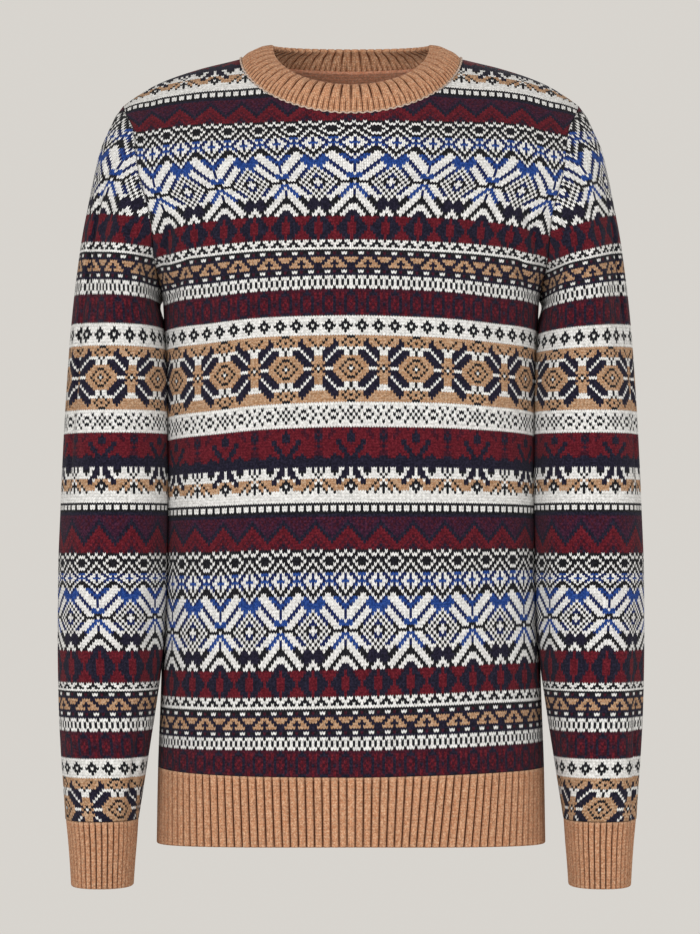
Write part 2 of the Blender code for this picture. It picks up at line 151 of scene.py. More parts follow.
CHARTS = {
    "lattice": Band(("WKKWKKK", "KWWKKWW", "KKKKWKK", "WKKWKKK", "KWKKWKK", "KKWKKWW", "WKKWKKK")),
    "small_diamonds": Band(("UWUUWBB", "UWWUUWU", "BBWWUBB", "UWWUBWU", "KWKUWKK", "WKKWKKK")),
    "stars": Band(
        (
            "KKWKKKWWKKWKK",
            "UWUBBWWWWBUWK",
            "WUBBWWWWBBBUW",
            "BBUWWWWUBBBBB",
            "BUWWWWUUWBBBB",
            "UWWWWUUWWWBBW",
            "UWWWUUWWWUBWK",
            "UWWUUWWWUUWKW",
            "WBBUWWWUUWKWU",
            "BBBWWWKUWKWUU",
            "KKWWWKKWKWKKW",
            "WKKKKKWKWKKWW",
            "BBWWWKKWKWKUW",
            "WBBWWWUUWKWUU",
            "UWBBWWWUUWKWK",
            "UWWBBWWWUUWKW",
            "KWWWBUKWWWKWK",
            "KKWWWKKKWNNNW",
            "KKKWWWKKKNNNN",
            "WWKKWWWKNNNNN",
            "WWWKKWWWKNNNW",
            "NNWWKKWWWKKWW",
            "NNNWWKKWKKWWK",
        )
    ),
    "red_ovals": Band(
        ("RNNMRRR", "RNNNRRR", "RRNNNRR", "RRNNNNR", "RRNNNNR", "RRNNNRR", "RNNNRRR", "RNNMRRR")
    ),
    "teeth": Band(("KWWK", "WWKK", "WKKW", "WWWW", "KKKK")),
    "camel_zigzag": Band(
        (
            "MKKWWK" + "MKKWWK",
            "NNNNNN" + "NNNNNN",
            "TTTNNT" + "TTNNTT",
            "TTNNTT" + "NTTNNT",
            "NNNTTN" + "NNTTNN",
            "NNTTTT" + "NTTTTN",
            "NNNNNN" + "NNNNNN",
            "MKKWWK" + "MKKWWK",
            "NNNNNN" + "NNNNNN",
        ),
        mirrored=False,
    ),
    "bars": Band(("WWK", "WKW", "WKW", "WWK")),
    "mottled_ovals": Band(("NMMMM", "NNMRM", "MMNRM", "RMNMM", "MRNMN", "RMNMM", "MMNMR", "NNMMR")),
    "black_diamonds": Band(("WWWW", "KWWW", "KKWW", "WKKW", "KKWW", "KWWW", "WWWW")),
    "camel_flowers": Band(
        (
            "KKTTTTTTTTTTT",
            "TTKTTTNTTKTTT",
            "KTTKTNNTTTKTT",
            "TTKTTNNNTTTKT",
            "WKWWWWNNNNWWK",
            "KWWNNNWNNNNWW",
            "KWWNNNNWNNNWW",
            "TTTTNNNNWNNTT",
            "KKTTTNNNNWNTT",
            "TTKTTTNNNNTTT",
            "KTTKTTTNNNNTK",
            "WKTTKTTWWWTKW",
            "KTTKTTTNNNNTK",
            "TTKTTTNNNNTTT",
            "KKTTTNNNNWNTT",
            "TTTTNNNNWNNTT",
            "KWWNNNNWNNNTT",
            "KWWNNNWNNNNWW",
            "WKWWWWNNNNWWW",
            "TTKTTNNNNTTTT",
            "KTTKTNNNTTTTT",
            "TTKTTTNTTTTTT",
            "KKTTTTTTTTTTT",
        ),
        axis=0,
    ),
    "black_flowers": Band(
        (
            "WWWWWWWWWWWWW",
            "KWWWKWWWWKWWK",
            "WKWKWWKKWWKWW",
            "KWKWWKWWKWWKW",
            "WKWKWWKKWWKWW",
            "KWWWKWWWWKWWK",
            "WWWWWWWWWWWWW",
        ),
        axis=0,
    ),
    "navy_trees": Band(
        (
            "MRRMRRRMRRRMM",
            "NRRRRRMMRRRMN",
            "NNRRRRRMMRRNM",
            "NNRRRRRRMRRNN",
            "NNRRNNRRRRRMN",
            "MRRRNNRRRRRRM",
            "RRRNNRRRRRRMN",
            "RRNNNRRRRRRRM",
            "RRNNRRRRRRRMM",
            "RNNRRRNRRRRMM",
            "NNNRNNNNRRMNN",
        ),
        axis=0,
    ),
    "navy": Band(("NNNN", "NNNN", "NNNN"), axis=0),
    "peaks": Band(
        (
            "WNNWWNNNWWNWN",
            "WNNNWKKKWWKWK",
            "WNNNWWKWWWWKW",
            "WWNNNWWWWWWWK",
            "KTTWNNTTTTKTW",
            "KKTTNNTTTKTWK",
            "WKKTTTTTKTTKK",
            "KKWTTTTKWTKWK",
            "KWWWWWKWWKWWK",
            "WWWWWWWWWWWWW",
            "WWWWWWWWWWWWW",
            "WWWWWWWWWWWWW",
        ),
        axis=0,
    ),
    "squares": Band(("KKK", "WKW", "WKW", "KKK"), axis=0, mirrored=False),
    "red_zigzag": Band(
        (
            "NNNNNNN",
            "PPMPMPM",
            "NPPMPMP",
            "NNPPMPP",
            "RNNPPMP",
            "RRNNPPP",
            "RRRNNPP",
            "MRRRNNP",
            "RMRRRNN",
            "MRMRRRN",
            "NMRMRRR",
            "MNMRMRR",
        ),
        axis=-1,
    ),
}

# The bands from the hem rib up: the height of each one's top on the middle of the front, and how many
# columns the drape moves it towards the wearer's left
BODY_BANDS = (
    ("mottled_ovals", -0.6000, 0),
    ("bars", -0.5886, 0),
    ("camel_zigzag", -0.5662, 0),
    ("teeth", -0.5535, 0),
    ("red_ovals", -0.5307, 0),
    ("stars", -0.4660, 0),
    ("small_diamonds", -0.4486, 0),
    ("lattice", -0.4293, 0),
    ("red_zigzag", -0.3995, 0),
    ("squares", -0.3902, 0),
    ("peaks", -0.3598, 0),
    ("navy", -0.3513, 0),
    ("navy_trees", -0.3259, 0),
    ("black_flowers", -0.3056, 0),
    ("camel_flowers", -0.2477, 0),
    ("black_diamonds", -0.2312, 0),
    ("mottled_ovals", -0.2083, 2),
    ("bars", -0.1973, 2),
    ("camel_zigzag", -0.1762, 2),
    ("teeth", -0.1660, 2),
    ("red_ovals", -0.1466, 2),
    ("stars", -0.0916, 2),
    ("small_diamonds", -0.0789, 2),
    ("lattice", -0.0645, 2),
)
UPPER_BANDS = ("red_zigzag", "squares", "peaks", "navy", "navy_trees", "black_flowers", "camel_flowers")
# The same on a sleeve, from its cuff up. The lowest band has only its upper rows
SLEEVE_BANDS = (
    ("camel_flowers", -0.6241, 0),
    ("black_diamonds", -0.6078, 0),
    ("mottled_ovals", -0.5846, 0),
    ("bars", -0.5735, 0),
    ("camel_zigzag", -0.5520, 0),
    ("teeth", -0.5434, 0),
    ("red_ovals", -0.5159, 0),
    ("stars", -0.4600, 0),
    ("small_diamonds", -0.4500, 0),
    ("lattice", -0.4326, 0),
    ("red_zigzag", -0.3974, 0),
    ("squares", -0.3896, 0),
    ("peaks", -0.3590, 0),
    ("navy", -0.3510, 0),
    ("navy_trees", -0.3295, 0),
    ("black_flowers", -0.3097, 0),
    ("camel_flowers", -0.2539, 0),
    ("black_diamonds", -0.2341, 0),
    ("mottled_ovals", -0.2084, 0),
    ("bars", -0.1955, 0),
    ("camel_zigzag", -0.1730, 0),
    ("teeth", -0.1625, 0),
    ("red_ovals", -0.1375, 0),
    ("stars", -0.0770, 3),
    ("small_diamonds", -0.0625, 3),
    ("lattice", -0.0445, 3),
)
SLEEVE_FIRST_ROWS = 16  # rows of the lowest band of a sleeve that show above the cuff
SLEEVES = (
    # arm, star column, share of the slope, times over the moved bands move
    (Arm.LEFT, 29, 1.0, 1),
    (Arm.RIGHT, 31, 0.4, 2),
)


@dataclass(frozen=True)
class SmoothTable:
    """Rows of numbers, sorted by their first, joined by curves that never overshoot."""

    rows: Rows

    def at(self, place: Array | float) -> Array:
        """Values of the later columns at places in the first.

        Args:
            place: Where to read the table, of any shape.

        Returns:
            One array of that shape for each later column.
        """
        table = np.array(sorted(self.rows))
        keys, values = table[:, 0], table[:, 1:]
        spans = np.diff(keys)
        rises = np.diff(values, axis=0) / spans[:, None]
        slopes = np.vstack([rises[:1], np.zeros((len(keys) - 2, values.shape[1])), rises[-1:]])
        before, after = rises[:-1], rises[1:]
        same = before * after > 0
        total = np.where(same, before + after, 1.0)
        slopes[1:-1] = np.where(same, 2 * before * after / total, 0.0)
        place = np.clip(np.asarray(place, float), keys[0], keys[-1])
        i = np.clip(np.searchsorted(keys, place, "right") - 1, 0, len(spans) - 1)
        span, t = spans[i][..., None], ((place - keys[i]) / spans[i])[..., None]
        result = (
            (2 * t**3 - 3 * t**2 + 1) * values[i]
            + (t**3 - 2 * t**2 + t) * span * slopes[i]
            + (3 * t**2 - 2 * t**3) * values[i + 1]
            + (t**3 - t**2) * span * slopes[i + 1]
        )
        return np.moveaxis(result, -1, 0)


def run_lengths(points: Array) -> Array:
    """Length along each line of points, from its first.

    Args:
        points: Lines of points, shape (lines, points, 3).

    Returns:
        Lengths, shape (lines, points).
    """
    steps = np.linalg.norm(np.diff(points, axis=1), axis=2)
    return np.concatenate([np.zeros((len(points), 1)), np.cumsum(steps, axis=1)], axis=1)


def read_along(places: Array, keys: Array, points: Array) -> Array:
    """Points of one line at places in its keys.

    Args:
        places: Where to read, in the keys' unit.
        keys: Rising numbers, one for each point.
        points: The line's points, shape (points, 3).

    Returns:
        Points, shape (places, 3).
    """
    return np.stack([np.interp(places, keys, points[:, k]) for k in range(points.shape[1])], axis=1)


@dataclass(frozen=True)
class BodyForm:
    """The hollow form of the body panels, the same as their solids'."""

    roundness: float = 2.5
    shoulder_reach: float = 0.200
    neck_half_width: float = 0.097
    neck_front_z: float = -0.057
    neck_back_z: float = -0.003
    neck_side_z: float = 0.003
    shoulder_tip_z: float = -0.038
    underarm_z: float = -0.210
    hem_rib_top_z: float = -0.6230
    hem_z: float = -0.6840
    armhole_steps: int = 9
    armhole_turn: int = 5
    level_blend: float = -0.28  # below this height the lines across the panel lie level
    sections: Rows = (
        # z, half_width, armhole_x, front_depth, back_depth
        (0.060, 0.2400, 0.2000, 0.1050, 0.1200),
        (-0.038, 0.2400, 0.2000, 0.1060, 0.1200),
        (-0.065, 0.2320, 0.1890, 0.1080, 0.1200),
        (-0.100, 0.2250, 0.1840, 0.1100, 0.1190),
        (-0.139, 0.2120, 0.1735, 0.1110, 0.1180),
        (-0.167, 0.1900, 0.1672, 0.1110, 0.1160),
        (-0.190, 0.1735, 0.1630, 0.1110, 0.1130),
        (-0.210, 0.1655, 0.1600, 0.1100, 0.1100),
        (-0.250, 0.1640, 0.1580, 0.1080, 0.1060),
        (-0.350, 0.1635, 0.1575, 0.1040, 0.0950),
        (-0.450, 0.1640, 0.1580, 0.1020, 0.0890),
        (-0.550, 0.1665, 0.1605, 0.1020, 0.0940),
        (-0.623, 0.1690, 0.1630, 0.1020, 0.1000),
        (-0.684, 0.1700, 0.1640, 0.1010, 0.1020),
    )
    shoulder_line: Rows = (
        # x, z
        (0.000, 0.0240),
        (0.050, 0.0187),
        (0.097, 0.0030),
        (0.133, -0.0060),
        (0.168, -0.0182),
        (0.200, -0.0380),
        (0.240, -0.0800),
    )
    front_folds: Rows = (
        # x, z, half_width, half_length, lean, depth
        (0.1560, -0.1600, 0.0040, 0.026, 0.35, 0.0060),
        (0.1480, -0.1940, 0.0045, 0.020, 0.55, 0.0055),
        (-0.1590, -0.1700, 0.0040, 0.024, -0.30, 0.0060),
        (-0.1500, -0.2020, 0.0045, 0.020, -0.60, 0.0055),
        (0.126, -0.215, 0.014, 0.060, 0.10, 0.0036),
        (-0.124, -0.220, 0.014, 0.070, -0.12, 0.0038),
        (0.118, -0.460, 0.026, 0.150, 0.06, 0.0040),
        (-0.112, -0.430, 0.028, 0.170, -0.05, 0.0045),
        (0.134, -0.168, 0.006, 0.030, 0.55, 0.0022),
        (-0.136, -0.178, 0.006, 0.028, -0.60, 0.0024),
        (-0.020, -0.600, 0.034, 0.040, 0.00, 0.0012),
        (0.052, -0.585, 0.022, 0.048, 0.10, 0.0010),
    )
    back_folds: Rows = (
        (0.120, -0.230, 0.015, 0.070, 0.12, 0.0045),
        (-0.122, -0.215, 0.015, 0.065, -0.10, 0.0042),
        (0.070, -0.430, 0.030, 0.160, -0.05, 0.0050),
        (-0.085, -0.400, 0.028, 0.140, 0.06, 0.0045),
        (0.010, -0.520, 0.022, 0.070, 0.04, 0.0022),
        (0.131, -0.175, 0.007, 0.032, 0.50, 0.0024),
        (-0.133, -0.165, 0.006, 0.030, -0.58, 0.0020),
    )

    def shoulder_z(self, x: Array) -> Array:
        """Height of the shoulder line at distances from the middle."""
        return SmoothTable(self.shoulder_line).at(np.abs(x))[0]

    def section(self, z: Array) -> Array:
        """Half width, armhole's half width, front depth and back depth at heights."""
        return SmoothTable(self.sections).at(z)

    def depth(self, side: Side, x: Array, z: Array) -> Array:
        """How far a panel stands from the plane of the side seams.

        Args:
            side: Which panel.
            x: Places across.
            z: Heights.

        Returns:
            Depths, never under nothing.
        """
        half_width, _, front, back = self.section(z)
        drop = np.clip(self.shoulder_z(x) - z, 0.0, self.shoulder_reach) / self.shoulder_reach
        share = np.clip(np.abs(x) / half_width, 0.0, 1.0)
        oval = (1 - share**self.roundness) ** (1 / self.roundness)
        full = front if side is Side.FRONT else back
        depth = full * np.sqrt(1 - (1 - drop) ** 2) * oval
        folds = self.front_folds if side is Side.FRONT else self.back_folds
        for fold_x, fold_z, half_wide, half_long, lean, fall in folds:
            across = (x - fold_x - lean * (fold_z - z)) / half_wide
            along = (z - fold_z) / half_long
            depth = depth - fall * np.exp(-(across**2) - along**2) * np.clip(depth / 0.03, 0.0, 1.0)
        return np.maximum(depth, 0.0)

    def surface(self, side: Side, turn: Array, level: Array) -> Array:
        """Points on a panel's outer face.

        Args:
            side: Which panel.
            turn: Angle across the oval, from the middle, a quarter turn at each side seam.
            level: Height on the middle line of the level line the point lies on.

        Returns:
            Points, with a last axis of 3.
        """
        lift = np.clip((level - self.level_blend) / (self.shoulder_line[0][1] - self.level_blend), 0, 1)
        lift = lift**2 * (3 - 2 * lift)
        out = np.sign(turn) * np.abs(np.sin(turn)) ** (2 / self.roundness)
        z = level
        for _ in range(5):
            x = self.section(z)[0] * out
            z = level + (self.shoulder_z(x) - self.shoulder_line[0][1]) * lift
        y = side.toward * (self.depth(side, x, z) + SEAM_GAP / 2)
        return np.stack([x, y, z], axis=-1)

    def neckline_z(self, side: Side, x: Array) -> Array:
        """Height of the neckline over places across, far above the shoulder beside the neck."""
        middle = self.neck_front_z if side is Side.FRONT else self.neck_back_z
        share = np.clip(np.abs(x) / self.neck_half_width, 0.0, 1.0)
        height = middle + (self.neck_side_z - middle) * (1 - np.sqrt(1 - share**2))
        return np.where(np.abs(x) < self.neck_half_width, height, 1.0)

    def armhole_z(self, step: Array | float) -> Array | float:
        """Height of the armhole at a step from the shoulder tip."""
        middle = (self.shoulder_tip_z + self.underarm_z) / 2
        return middle + (self.shoulder_tip_z - middle) * np.cos(np.pi * step / self.armhole_steps)

    def armhole_x(self, z: Array) -> Array:
        """How far out the panel reaches at heights: to the armhole, or past it all below the underarm."""
        half_width, armhole, _, _ = self.section(z)
        turn_z = self.armhole_z(self.armhole_turn)
        rise = np.clip((z - self.underarm_z) / (turn_z - self.underarm_z), 0.0, 1.0)
        share = 1 - np.sqrt(1 - (1 - rise) ** 2)
        start = np.arcsin(np.clip(armhole / half_width, 0, 1) ** (self.roundness / 2))
        turn = start + (np.pi / 2 - start) * share
        under = half_width * np.sin(turn) ** (2 / self.roundness)
        return np.where(z < self.underarm_z, 1.0, under)

    def armhole(self, side: Side, step: Array) -> Array:
        """Points on the armhole's edge of the wearer's left arm, at steps from the shoulder tip."""
        z = self.armhole_z(step)
        x = np.minimum(self.armhole_x(z), self.section(z)[0])
        y = side.toward * (self.depth(side, x, z) + SEAM_GAP / 2)
        return np.stack([x, y, z], axis=-1)

    def flank_x(self, y: Array, z: Array) -> Array:
        """How far out the body's side reaches under the arm, level with points."""
        half_width, _, front, back = self.section(z)
        share = np.clip(np.abs(y) / np.where(y < 0, front, back), 0.0, 1.0)
        reach = half_width * (1 - share**self.roundness) ** (1 / self.roundness)
        return np.where(z > self.underarm_z, 0.0, reach)


@dataclass(frozen=True)
class SleeveForm:
    """The hollow form of one sleeve and its cuff, the same as their solids'."""

    arm: Arm
    body: BodyForm
    roundness: float = 2.2
    clearance: float = 0.0006
    seam_out: float = 0.0003  # how far out the sleeve starts from the armhole
    seam_over: float = 0.0002  # the same again over the arm
    rings: Rows = (
        # outer_x, outer_z, inner_x, inner_z, half_depth, forward, roundness
        (0.2077, -0.0480, 0.1674, -0.2125, 0.0680, 0.000, 0.15),
        (0.2140, -0.0620, 0.1684, -0.2150, 0.0690, 0.000, 0.35),
        (0.2205, -0.0780, 0.1684, -0.2180, 0.0700, 0.001, 0.55),
        (0.2260, -0.1020, 0.1670, -0.2225, 0.0700, 0.002, 0.75),
        (0.2310, -0.1280, 0.1645, -0.2290, 0.0700, 0.003, 0.90),
        (0.2360, -0.1550, 0.1620, -0.2390, 0.0690, 0.004, 1.00),
        (0.2400, -0.1850, 0.1595, -0.2520, 0.0680, 0.006, 1.00),
        (0.2435, -0.2150, 0.1575, -0.2680, 0.0670, 0.007, 1.00),
        (0.2465, -0.2500, 0.1560, -0.2880, 0.0650, 0.009, 1.00),
        (0.2490, -0.2900, 0.1560, -0.3140, 0.0635, 0.011, 1.00),
        (0.2515, -0.3400, 0.1560, -0.3500, 0.0615, 0.014, 1.00),
        (0.2535, -0.3950, 0.1565, -0.3950, 0.0595, 0.017, 1.00),
        (0.2550, -0.4500, 0.1580, -0.4500, 0.0570, 0.021, 1.00),
        (0.2548, -0.5050, 0.1615, -0.5050, 0.0540, 0.026, 1.00),
        (0.2535, -0.5600, 0.1685, -0.5600, 0.0510, 0.030, 1.00),
        (0.2510, -0.6045, 0.1750, -0.6045, 0.0480, 0.034, 1.00),
        (0.2482, -0.6380, 0.1800, -0.6380, 0.0445, 0.037, 1.00),
        (0.2465, -0.6612, 0.1835, -0.6612, 0.0410, 0.039, 1.00),
    )
    cuff_rings: Rows = (
        # outer_x, outer_z, inner_x, inner_z, half_depth, forward, roundness
        (0.2460, -0.6618, 0.1838, -0.6618, 0.0405, 0.0390, 1.00),
        (0.2440, -0.6810, 0.1850, -0.6810, 0.0385, 0.0395, 1.00),
        (0.2424, -0.7010, 0.1866, -0.7010, 0.0370, 0.0400, 1.00),
        (0.2413, -0.7190, 0.1877, -0.7190, 0.0360, 0.0405, 1.00),
    )
    left_folds: Rows = (
        # turn, z, half_width, half_length, depth
        (33.0, -0.1900, 0.0045, 0.060, 0.0055),
        (27.0, -0.3200, 0.0040, 0.050, 0.0035),
        (66.0, -0.1350, 0.0060, 0.040, 0.0030),
        (30.0, -0.6250, 0.0045, 0.040, 0.0050),
        (48.0, -0.190, 0.016, 0.090, 0.0045),
        (35.0, -0.560, 0.014, 0.070, 0.0040),
        (-55.0, -0.420, 0.016, 0.090, 0.0045),
        (22.0, -0.610, 0.008, 0.040, 0.0022),
        (-100.0, -0.250, 0.012, 0.050, 0.0026),
        (150.0, -0.460, 0.012, 0.070, 0.0018),
    )
    right_folds: Rows = (
        (46.0, -0.1650, 0.0045, 0.060, 0.0060),
        (41.0, -0.2700, 0.0042, 0.050, 0.0060),
        (37.0, -0.3500, 0.0040, 0.035, 0.0030),
        (140.0, -0.6150, 0.0045, 0.036, 0.0045),
        (62.0, -0.170, 0.015, 0.080, 0.0055),
        (95.0, -0.590, 0.014, 0.060, 0.0040),
        (-70.0, -0.330, 0.016, 0.100, 0.0045),
        (70.0, -0.290, 0.012, 0.050, 0.0022),
        (-110.0, -0.240, 0.012, 0.050, 0.0026),
        (140.0, -0.500, 0.012, 0.060, 0.0018),
    )

    def ring(self, turn: Array, place: float, rows: Rows) -> Array:
        """Points round one ring, by the wearer's own hand.

        Args:
            turn: Angles from the point over the arm, front positive, half a turn at the underarm.
            place: The ring's number, 1 for the first of rows, 0 for the armhole.
            rows: The sleeve's rings or the cuff's.

        Returns:
            Points, shape (turns, 3).
        """
        numbered = tuple((index + 1.0, *row) for index, row in enumerate(rows))
        outer_x, outer_z, inner_x, inner_z, half_depth, forward, blend = SmoothTable(numbered).at(
            max(place, 1.0)
        )
        step = self.body.armhole_steps * np.abs(turn) / np.pi
        front, back = (self.body.armhole(side, step) for side in (Side.FRONT, Side.BACK))
        edge = np.where((turn >= 0)[:, None], front, back)
        tip, pit = self.body.armhole(Side.FRONT, np.array([0.0, self.body.armhole_steps]))
        chord_x, chord_z = pit[0] - tip[0], pit[2] - tip[2]
        length = math.hypot(chord_x, chord_z)
        hole = ((edge[:, 0] - tip[0]) * chord_x + (edge[:, 2] - tip[2]) * chord_z) / length**2
        bow = ((edge[:, 0] - tip[0]) * chord_z - (edge[:, 2] - tip[2]) * chord_x) / length
        power = 2 / self.roundness
        down = np.abs(np.cos(turn)) ** power * np.sign(np.cos(turn))
        out = np.abs(np.sin(turn)) ** power * np.sign(np.sin(turn))
        down = hole + ((1 - down) / 2 - hole) * blend
        y = edge[:, 1] + (-half_depth * out - edge[:, 1]) * blend - forward
        bow = bow * (1 - blend)
        x = outer_x + (inner_x - outer_x) * down + bow * chord_z / length
        z = outer_z + (inner_z - outer_z) * down - bow * chord_x / length
        middle_x, middle_y = (outer_x + inner_x) / 2, -forward
        folds = self.left_folds if self.arm is Arm.LEFT else self.right_folds
        for fold_turn, fold_z, half_wide, half_long, fall in folds:
            apart = np.radians((np.degrees(turn) - fold_turn + 180) % 360 - 180) * half_depth
            push = fall * np.exp(-((apart / half_wide) ** 2) - ((z - fold_z) / half_long) ** 2)
            away = np.hypot(x - middle_x, y - middle_y)
            x = x + (middle_x - x) * push / away
            y = y + (middle_y - y) * push / away
        x = np.maximum(x, self.body.flank_x(y, z) + self.clearance)
        points = np.stack([x, y, z], axis=1)
        if place < 1:
            over = (1 + np.cos(turn)) / 2
            shift = [self.seam_out + self.seam_over * over, 0 * over, -self.seam_over * over]
            start = edge + np.stack(shift, axis=1)
            points = start + (points - start) * place
        return points * np.array([self.arm.hand, 1, 1])


@dataclass(frozen=True)
class NeckForm:
    """The form of the neckband, from its seam to its rim, the same as its solid's."""

    body: BodyForm
    rim_half_width: float = 0.0685
    rim_front_y: float = -0.0700
    rim_front_z: float = -0.0290
    rim_side_z: float = 0.0165
    rim_back_y: float = 0.0500
    rim_back_z: float = 0.0215
    seam_share: float = 0.992  # of the neckline's size, where the band starts
    seam_lift: float = 0.0007
    swell_rows: Rows = (
        # share, swell
        (0.00, 0.0000),
        (0.30, 0.0026),
        (0.65, 0.0030),
        (1.00, 0.0000),
    )

    def row(self, turn: Array, share: float) -> Array:
        """Points round one row of the band.

        Args:
            turn: Angles from the middle of the front by the left shoulder.
            share: Share of the way from the seam to the rim.

        Returns:
            Points, shape (turns, 3).
        """
        swell = SmoothTable(self.swell_rows).at(share)[0]
        sine, cosine = np.sin(turn), np.cos(turn)
        front = cosine > 0
        bent = 1 - np.sqrt(np.clip(1 - sine**2, 0, 1))
        middle = np.where(front, self.body.neck_front_z, self.body.neck_back_z)
        seam_z = middle + (self.body.neck_side_z - middle) * bent
        seam_x = self.body.neck_half_width * sine
        depth_front = self.body.depth(Side.FRONT, seam_x, seam_z)
        depth_back = self.body.depth(Side.BACK, seam_x, seam_z)
        seam_y = np.where(front, -depth_front, depth_back)
        rim_y = np.where(front, self.rim_front_y, self.rim_back_y) * np.abs(cosine)
        rim_top = np.where(front, self.rim_front_z, self.rim_back_z)
        rim_z = self.rim_side_z + (rim_top - self.rim_side_z) * np.abs(cosine)
        near = self.seam_share
        seam = np.stack([seam_x * near, seam_y * near, seam_z + self.seam_lift], axis=1)
        rim = np.stack([self.rim_half_width * sine, rim_y, rim_z], axis=1)
        return seam + (rim - seam) * share + self.outward(turn) * swell

    def outward(self, turn: Array) -> Array:
        """The way out of the band's face at each turn, shape (turns, 3)."""
        return np.stack([np.sin(turn) * 0.6, -np.cos(turn) * 0.6, np.full_like(turn, 0.8)], axis=1)


class Fraying:
    """Ways of ending the lines of a lattice at a seam."""

    @staticmethod
    def trim(points: Array, room: Array) -> Array:
        """Gathers each line on its edge from where its room runs out.

        Args:
            points: Lines of points, shape (lines, points, 3).
            room: How far inside the edge each point is, negative outside.

        Returns:
            The points, with those outside moved to the crossing.
        """
        outside = room < 0
        for line in np.flatnonzero(outside.any(axis=1)):
            end = int(outside[line].argmax())
            if end == 0:
                points[line, :] = points[line, 0]
                continue
            share = room[line, end - 1] / (room[line, end - 1] - room[line, end])
            last, first = points[line, end - 1].copy(), points[line, end].copy()
            points[line, end:] = last + (first - last) * share
        return points

    @staticmethod
    def gather(points: Array, done: Array) -> Array:
        """Gathers each line on its first point that is done.

        Args:
            points: Lines of points, shape (lines, points, 3).
            done: Whether each point is on the seam.

        Returns:
            The points, with the later ones moved there.
        """
        for line in np.flatnonzero(done.any(axis=1)):
            end = int(done[line].argmax())
            points[line, end:] = points[line, end].copy()
        return points


def turns_of_columns(lines: Array, turn: Array, reach: Array) -> Array:
    """Where each column's edge lies on each line across.

    Args:
        lines: Lines of points across, shape (lines, points, 3), with the middle at turn 0.
        turn: The points' turns.
        reach: Distances of the columns' edges from the middle, along the cloth, for each line.

    Returns:
        Turns, shape (lines, edges).
    """
    lengths = run_lengths(lines)
    middle = np.array([np.interp(0.0, turn, line) for line in lengths])
    reach = np.broadcast_to(reach, (len(lines), reach.shape[-1]))
    return np.stack(
        [np.interp(edges, line - start, turn) for edges, line, start in zip(reach, lengths, middle)]
    )


@dataclass(frozen=True)
class Banding:
    """The rows of a knitted sheet, from its lower edge up."""

    bands: tuple[tuple[str, float, int], ...]
    lowest_z: float
    first_rows: int = 0  # rows of the lowest band that show, or 0 for all
    upper: tuple[str, ...] = UPPER_BANDS
    toward: int = 1  # the way the moved bands move

    def edges(self) -> Array:
        """Heights of the rows' edges, on the sheet's middle line, as far as they are stated."""
        heights = [self.lowest_z]
        for index, (name, top, _) in enumerate(self.bands):
            count = len(CHARTS[name].rows)
            if index == 0 and self.first_rows:
                count = self.first_rows
            start = heights[-1]
            heights += [start + (top - start) * (row + 1) / count for row in range(count)]
        return np.array(heights)

    def codes(self, columns: Array) -> Array:
        """Yarn codes of all the rows, from the lowest up, one column for each stitch."""
        blocks = [CHARTS[name].codes(columns - moved * self.toward) for name, _, moved in self.bands]
        if self.first_rows:
            blocks[0] = blocks[0][-self.first_rows :]
        blocks += [CHARTS[name].codes(columns) for name in self.upper]
        return np.concatenate(blocks)


